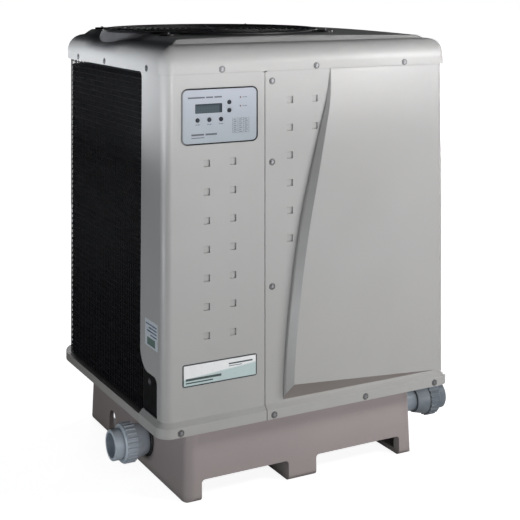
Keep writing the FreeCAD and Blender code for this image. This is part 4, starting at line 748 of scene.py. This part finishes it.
def floor():
    """White paper sweep: pale to the camera, greyer to the light that bounces off it."""
    s = Shader("floor")
    paper = s.mix(s.spread(s.noise(0.6, 4), 0.3, 0.7), (0.50, 0.50, 0.50), (0.54, 0.54, 0.54))
    roughness = s.spread(s.noise(5, 3), 0.3, 0.7, 0.75, 0.9)
    seen = s.add("ShaderNodeLightPath").outputs["Is Camera Ray"]
    away = s.math("ADD", s.math("ABSOLUTE", s.axis(0)), s.math("ABSOLUTE", s.axis(1)))
    glow = s.math("MULTIPLY", seen, s.spread(away, 1.2, 3.5, FLOOR_GLOW, FAR_GLOW))
    material = s.finish(paper, roughness, emission=((1.0, 1.0, 1.0), glow), specular=0.1)
    x, y = FLOOR_SIZE, FLOOR_SIZE * 2
    mesh = bpy.data.meshes.new("floor")
    mesh.from_pydata([(-x, -x, GROUND), (x, -x, GROUND), (x, y, GROUND), (-x, y, GROUND)], [],
                     [(0, 1, 2, 3)])
    mesh.materials.append(material)
    plane = bpy.data.objects.new("floor", mesh)
    bpy.context.scene.collection.objects.link(plane)


def world():
    """White behind the object, but a dim room above it, so that its top stays dark."""
    studio = bpy.data.worlds.new("studio")
    bpy.context.scene.world = studio
    studio.use_nodes = True
    tree = studio.node_tree
    room = tree.nodes["Background"]
    room.inputs["Color"].default_value = (0.88, 0.93, 1.0, 1.0)
    room.inputs["Strength"].default_value = 0.03
    paper = tree.nodes.new("ShaderNodeBackground")
    paper.inputs["Color"].default_value = (1.0, 1.0, 1.0, 1.0)
    seen = tree.nodes.new("ShaderNodeLightPath")
    mix = tree.nodes.new("ShaderNodeMixShader")
    tree.links.new(seen.outputs["Is Camera Ray"], mix.inputs[0])
    tree.links.new(room.outputs[0], mix.inputs[1])
    tree.links.new(paper.outputs[0], mix.inputs[2])
    tree.links.new(mix.outputs[0], tree.nodes["World Output"].inputs["Surface"])


def area_light(name, place, target, size, power, tint=(1, 1, 1), spread=180.0):
    """Soft box at place, turned to target; its beam narrows with spread, in degrees."""
    data = bpy.data.lights.new(name, "AREA")
    data.shape = "RECTANGLE"
    data.size, data.size_y = size
    data.energy = power
    data.color = tint
    data.spread = math.radians(spread)
    lamp = bpy.data.objects.new(name, data)
    lamp.location = place
    lamp.rotation_euler = (Vector(target) - Vector(place)).to_track_quat("-Z", "Y").to_euler()
    lamp.visible_camera = False
    bpy.context.scene.collection.objects.link(lamp)


def lights():
    """Soft front light low down, a key near the upper right, and small lamps along the top edge."""
    cool, plain = (0.93, 0.965, 1.0), (1.0, 1.0, 1.0)
    area_light("front", (0.4, -3.6, 0.5), (0.0, -0.3, 0.5), (2.2, 1.0), 45, plain)
    area_light("key", (1.1, -1.5, 1.35), (0.2, -0.37, 1.0), (0.5, 0.5), 14.8, plain)
    area_light("left_low", (-2.6, -0.6, 0.25), (-0.41, 0.0, 0.3), (1.4, 0.4), 17, cool)
    area_light("left_corner", (-0.80, -0.45, 0.80), (-0.41, -0.28, 1.02), (0.2, 0.1), 0.15, cool, 60)
    area_light("left_back", (-0.80, 0.30, 0.76), (-0.41, 0.25, 1.08), (0.4, 0.1), 0.62, cool, 60)
    area_light("left_edge", (-0.80, -0.05, 0.76), (-0.41, -0.1, 1.08), (0.4, 0.1), 0.45, cool, 60)
    area_light("front_edge", (0.1, -1.3, 1.0), (0.05, -0.38, 1.10), (1.0, 0.1), 0.30, plain, 30)
    area_light("back", (0.5, 3.4, 0.7), (0.0, 0.3, 0.5), (2.0, 1.0), 36, plain)
    area_light("right", (3.0, 1.2, 0.9), (0.4, 0.1, 0.7), (1.4, 1.0), 20, plain, 90)


CAMERA_AT = (-1.4992, -2.8684, 1.2513)
CAMERA_YAW = 28.31
CAMERA_LENS = 81.02
CAMERA_SHIFT = -0.5383
CAMERA_PLAY = 0.02         # the shift holds while the camera is this close to its place


def camera():
    """Level camera. Its lens shift holds only at its own place, so that other views stay centred."""
    data = bpy.data.cameras.new("camera")
    cam = bpy.data.objects.new("camera", data)
    bpy.context.scene.collection.objects.link(cam)
    cam.location = CAMERA_AT
    cam.rotation_euler = (math.radians(90), 0, math.radians(-CAMERA_YAW))
    data.sensor_width = 36.0
    data.lens = CAMERA_LENS
    mark = bpy.data.objects.new("camera_mark", None)
    mark.location = CAMERA_AT
    bpy.context.scene.collection.objects.link(mark)
    curve = data.driver_add("shift_y")
    curve.driver.type = "AVERAGE"
    away = curve.driver.variables.new()
    away.type = "LOC_DIFF"
    away.targets[0].id = cam
    away.targets[1].id = mark
    for modifier in list(curve.modifiers):
        curve.modifiers.remove(modifier)
    for distance, shift in ((0.0, CAMERA_SHIFT), (CAMERA_PLAY, CAMERA_SHIFT), (2 * CAMERA_PLAY, 0.0)):
        curve.keyframe_points.insert(distance, shift).interpolation = "LINEAR"
    curve.extrapolation = "CONSTANT"
    bpy.context.scene.camera = cam


dress_cad_nodes()
coil_fins()
screw_shadow_rings()
keypad_marks()
plate_marks()
side_label()
floor()
world()
lights()
camera()
bpy.context.scene.view_settings.view_transform = "Standard"
bpy.context.view_layer.update()
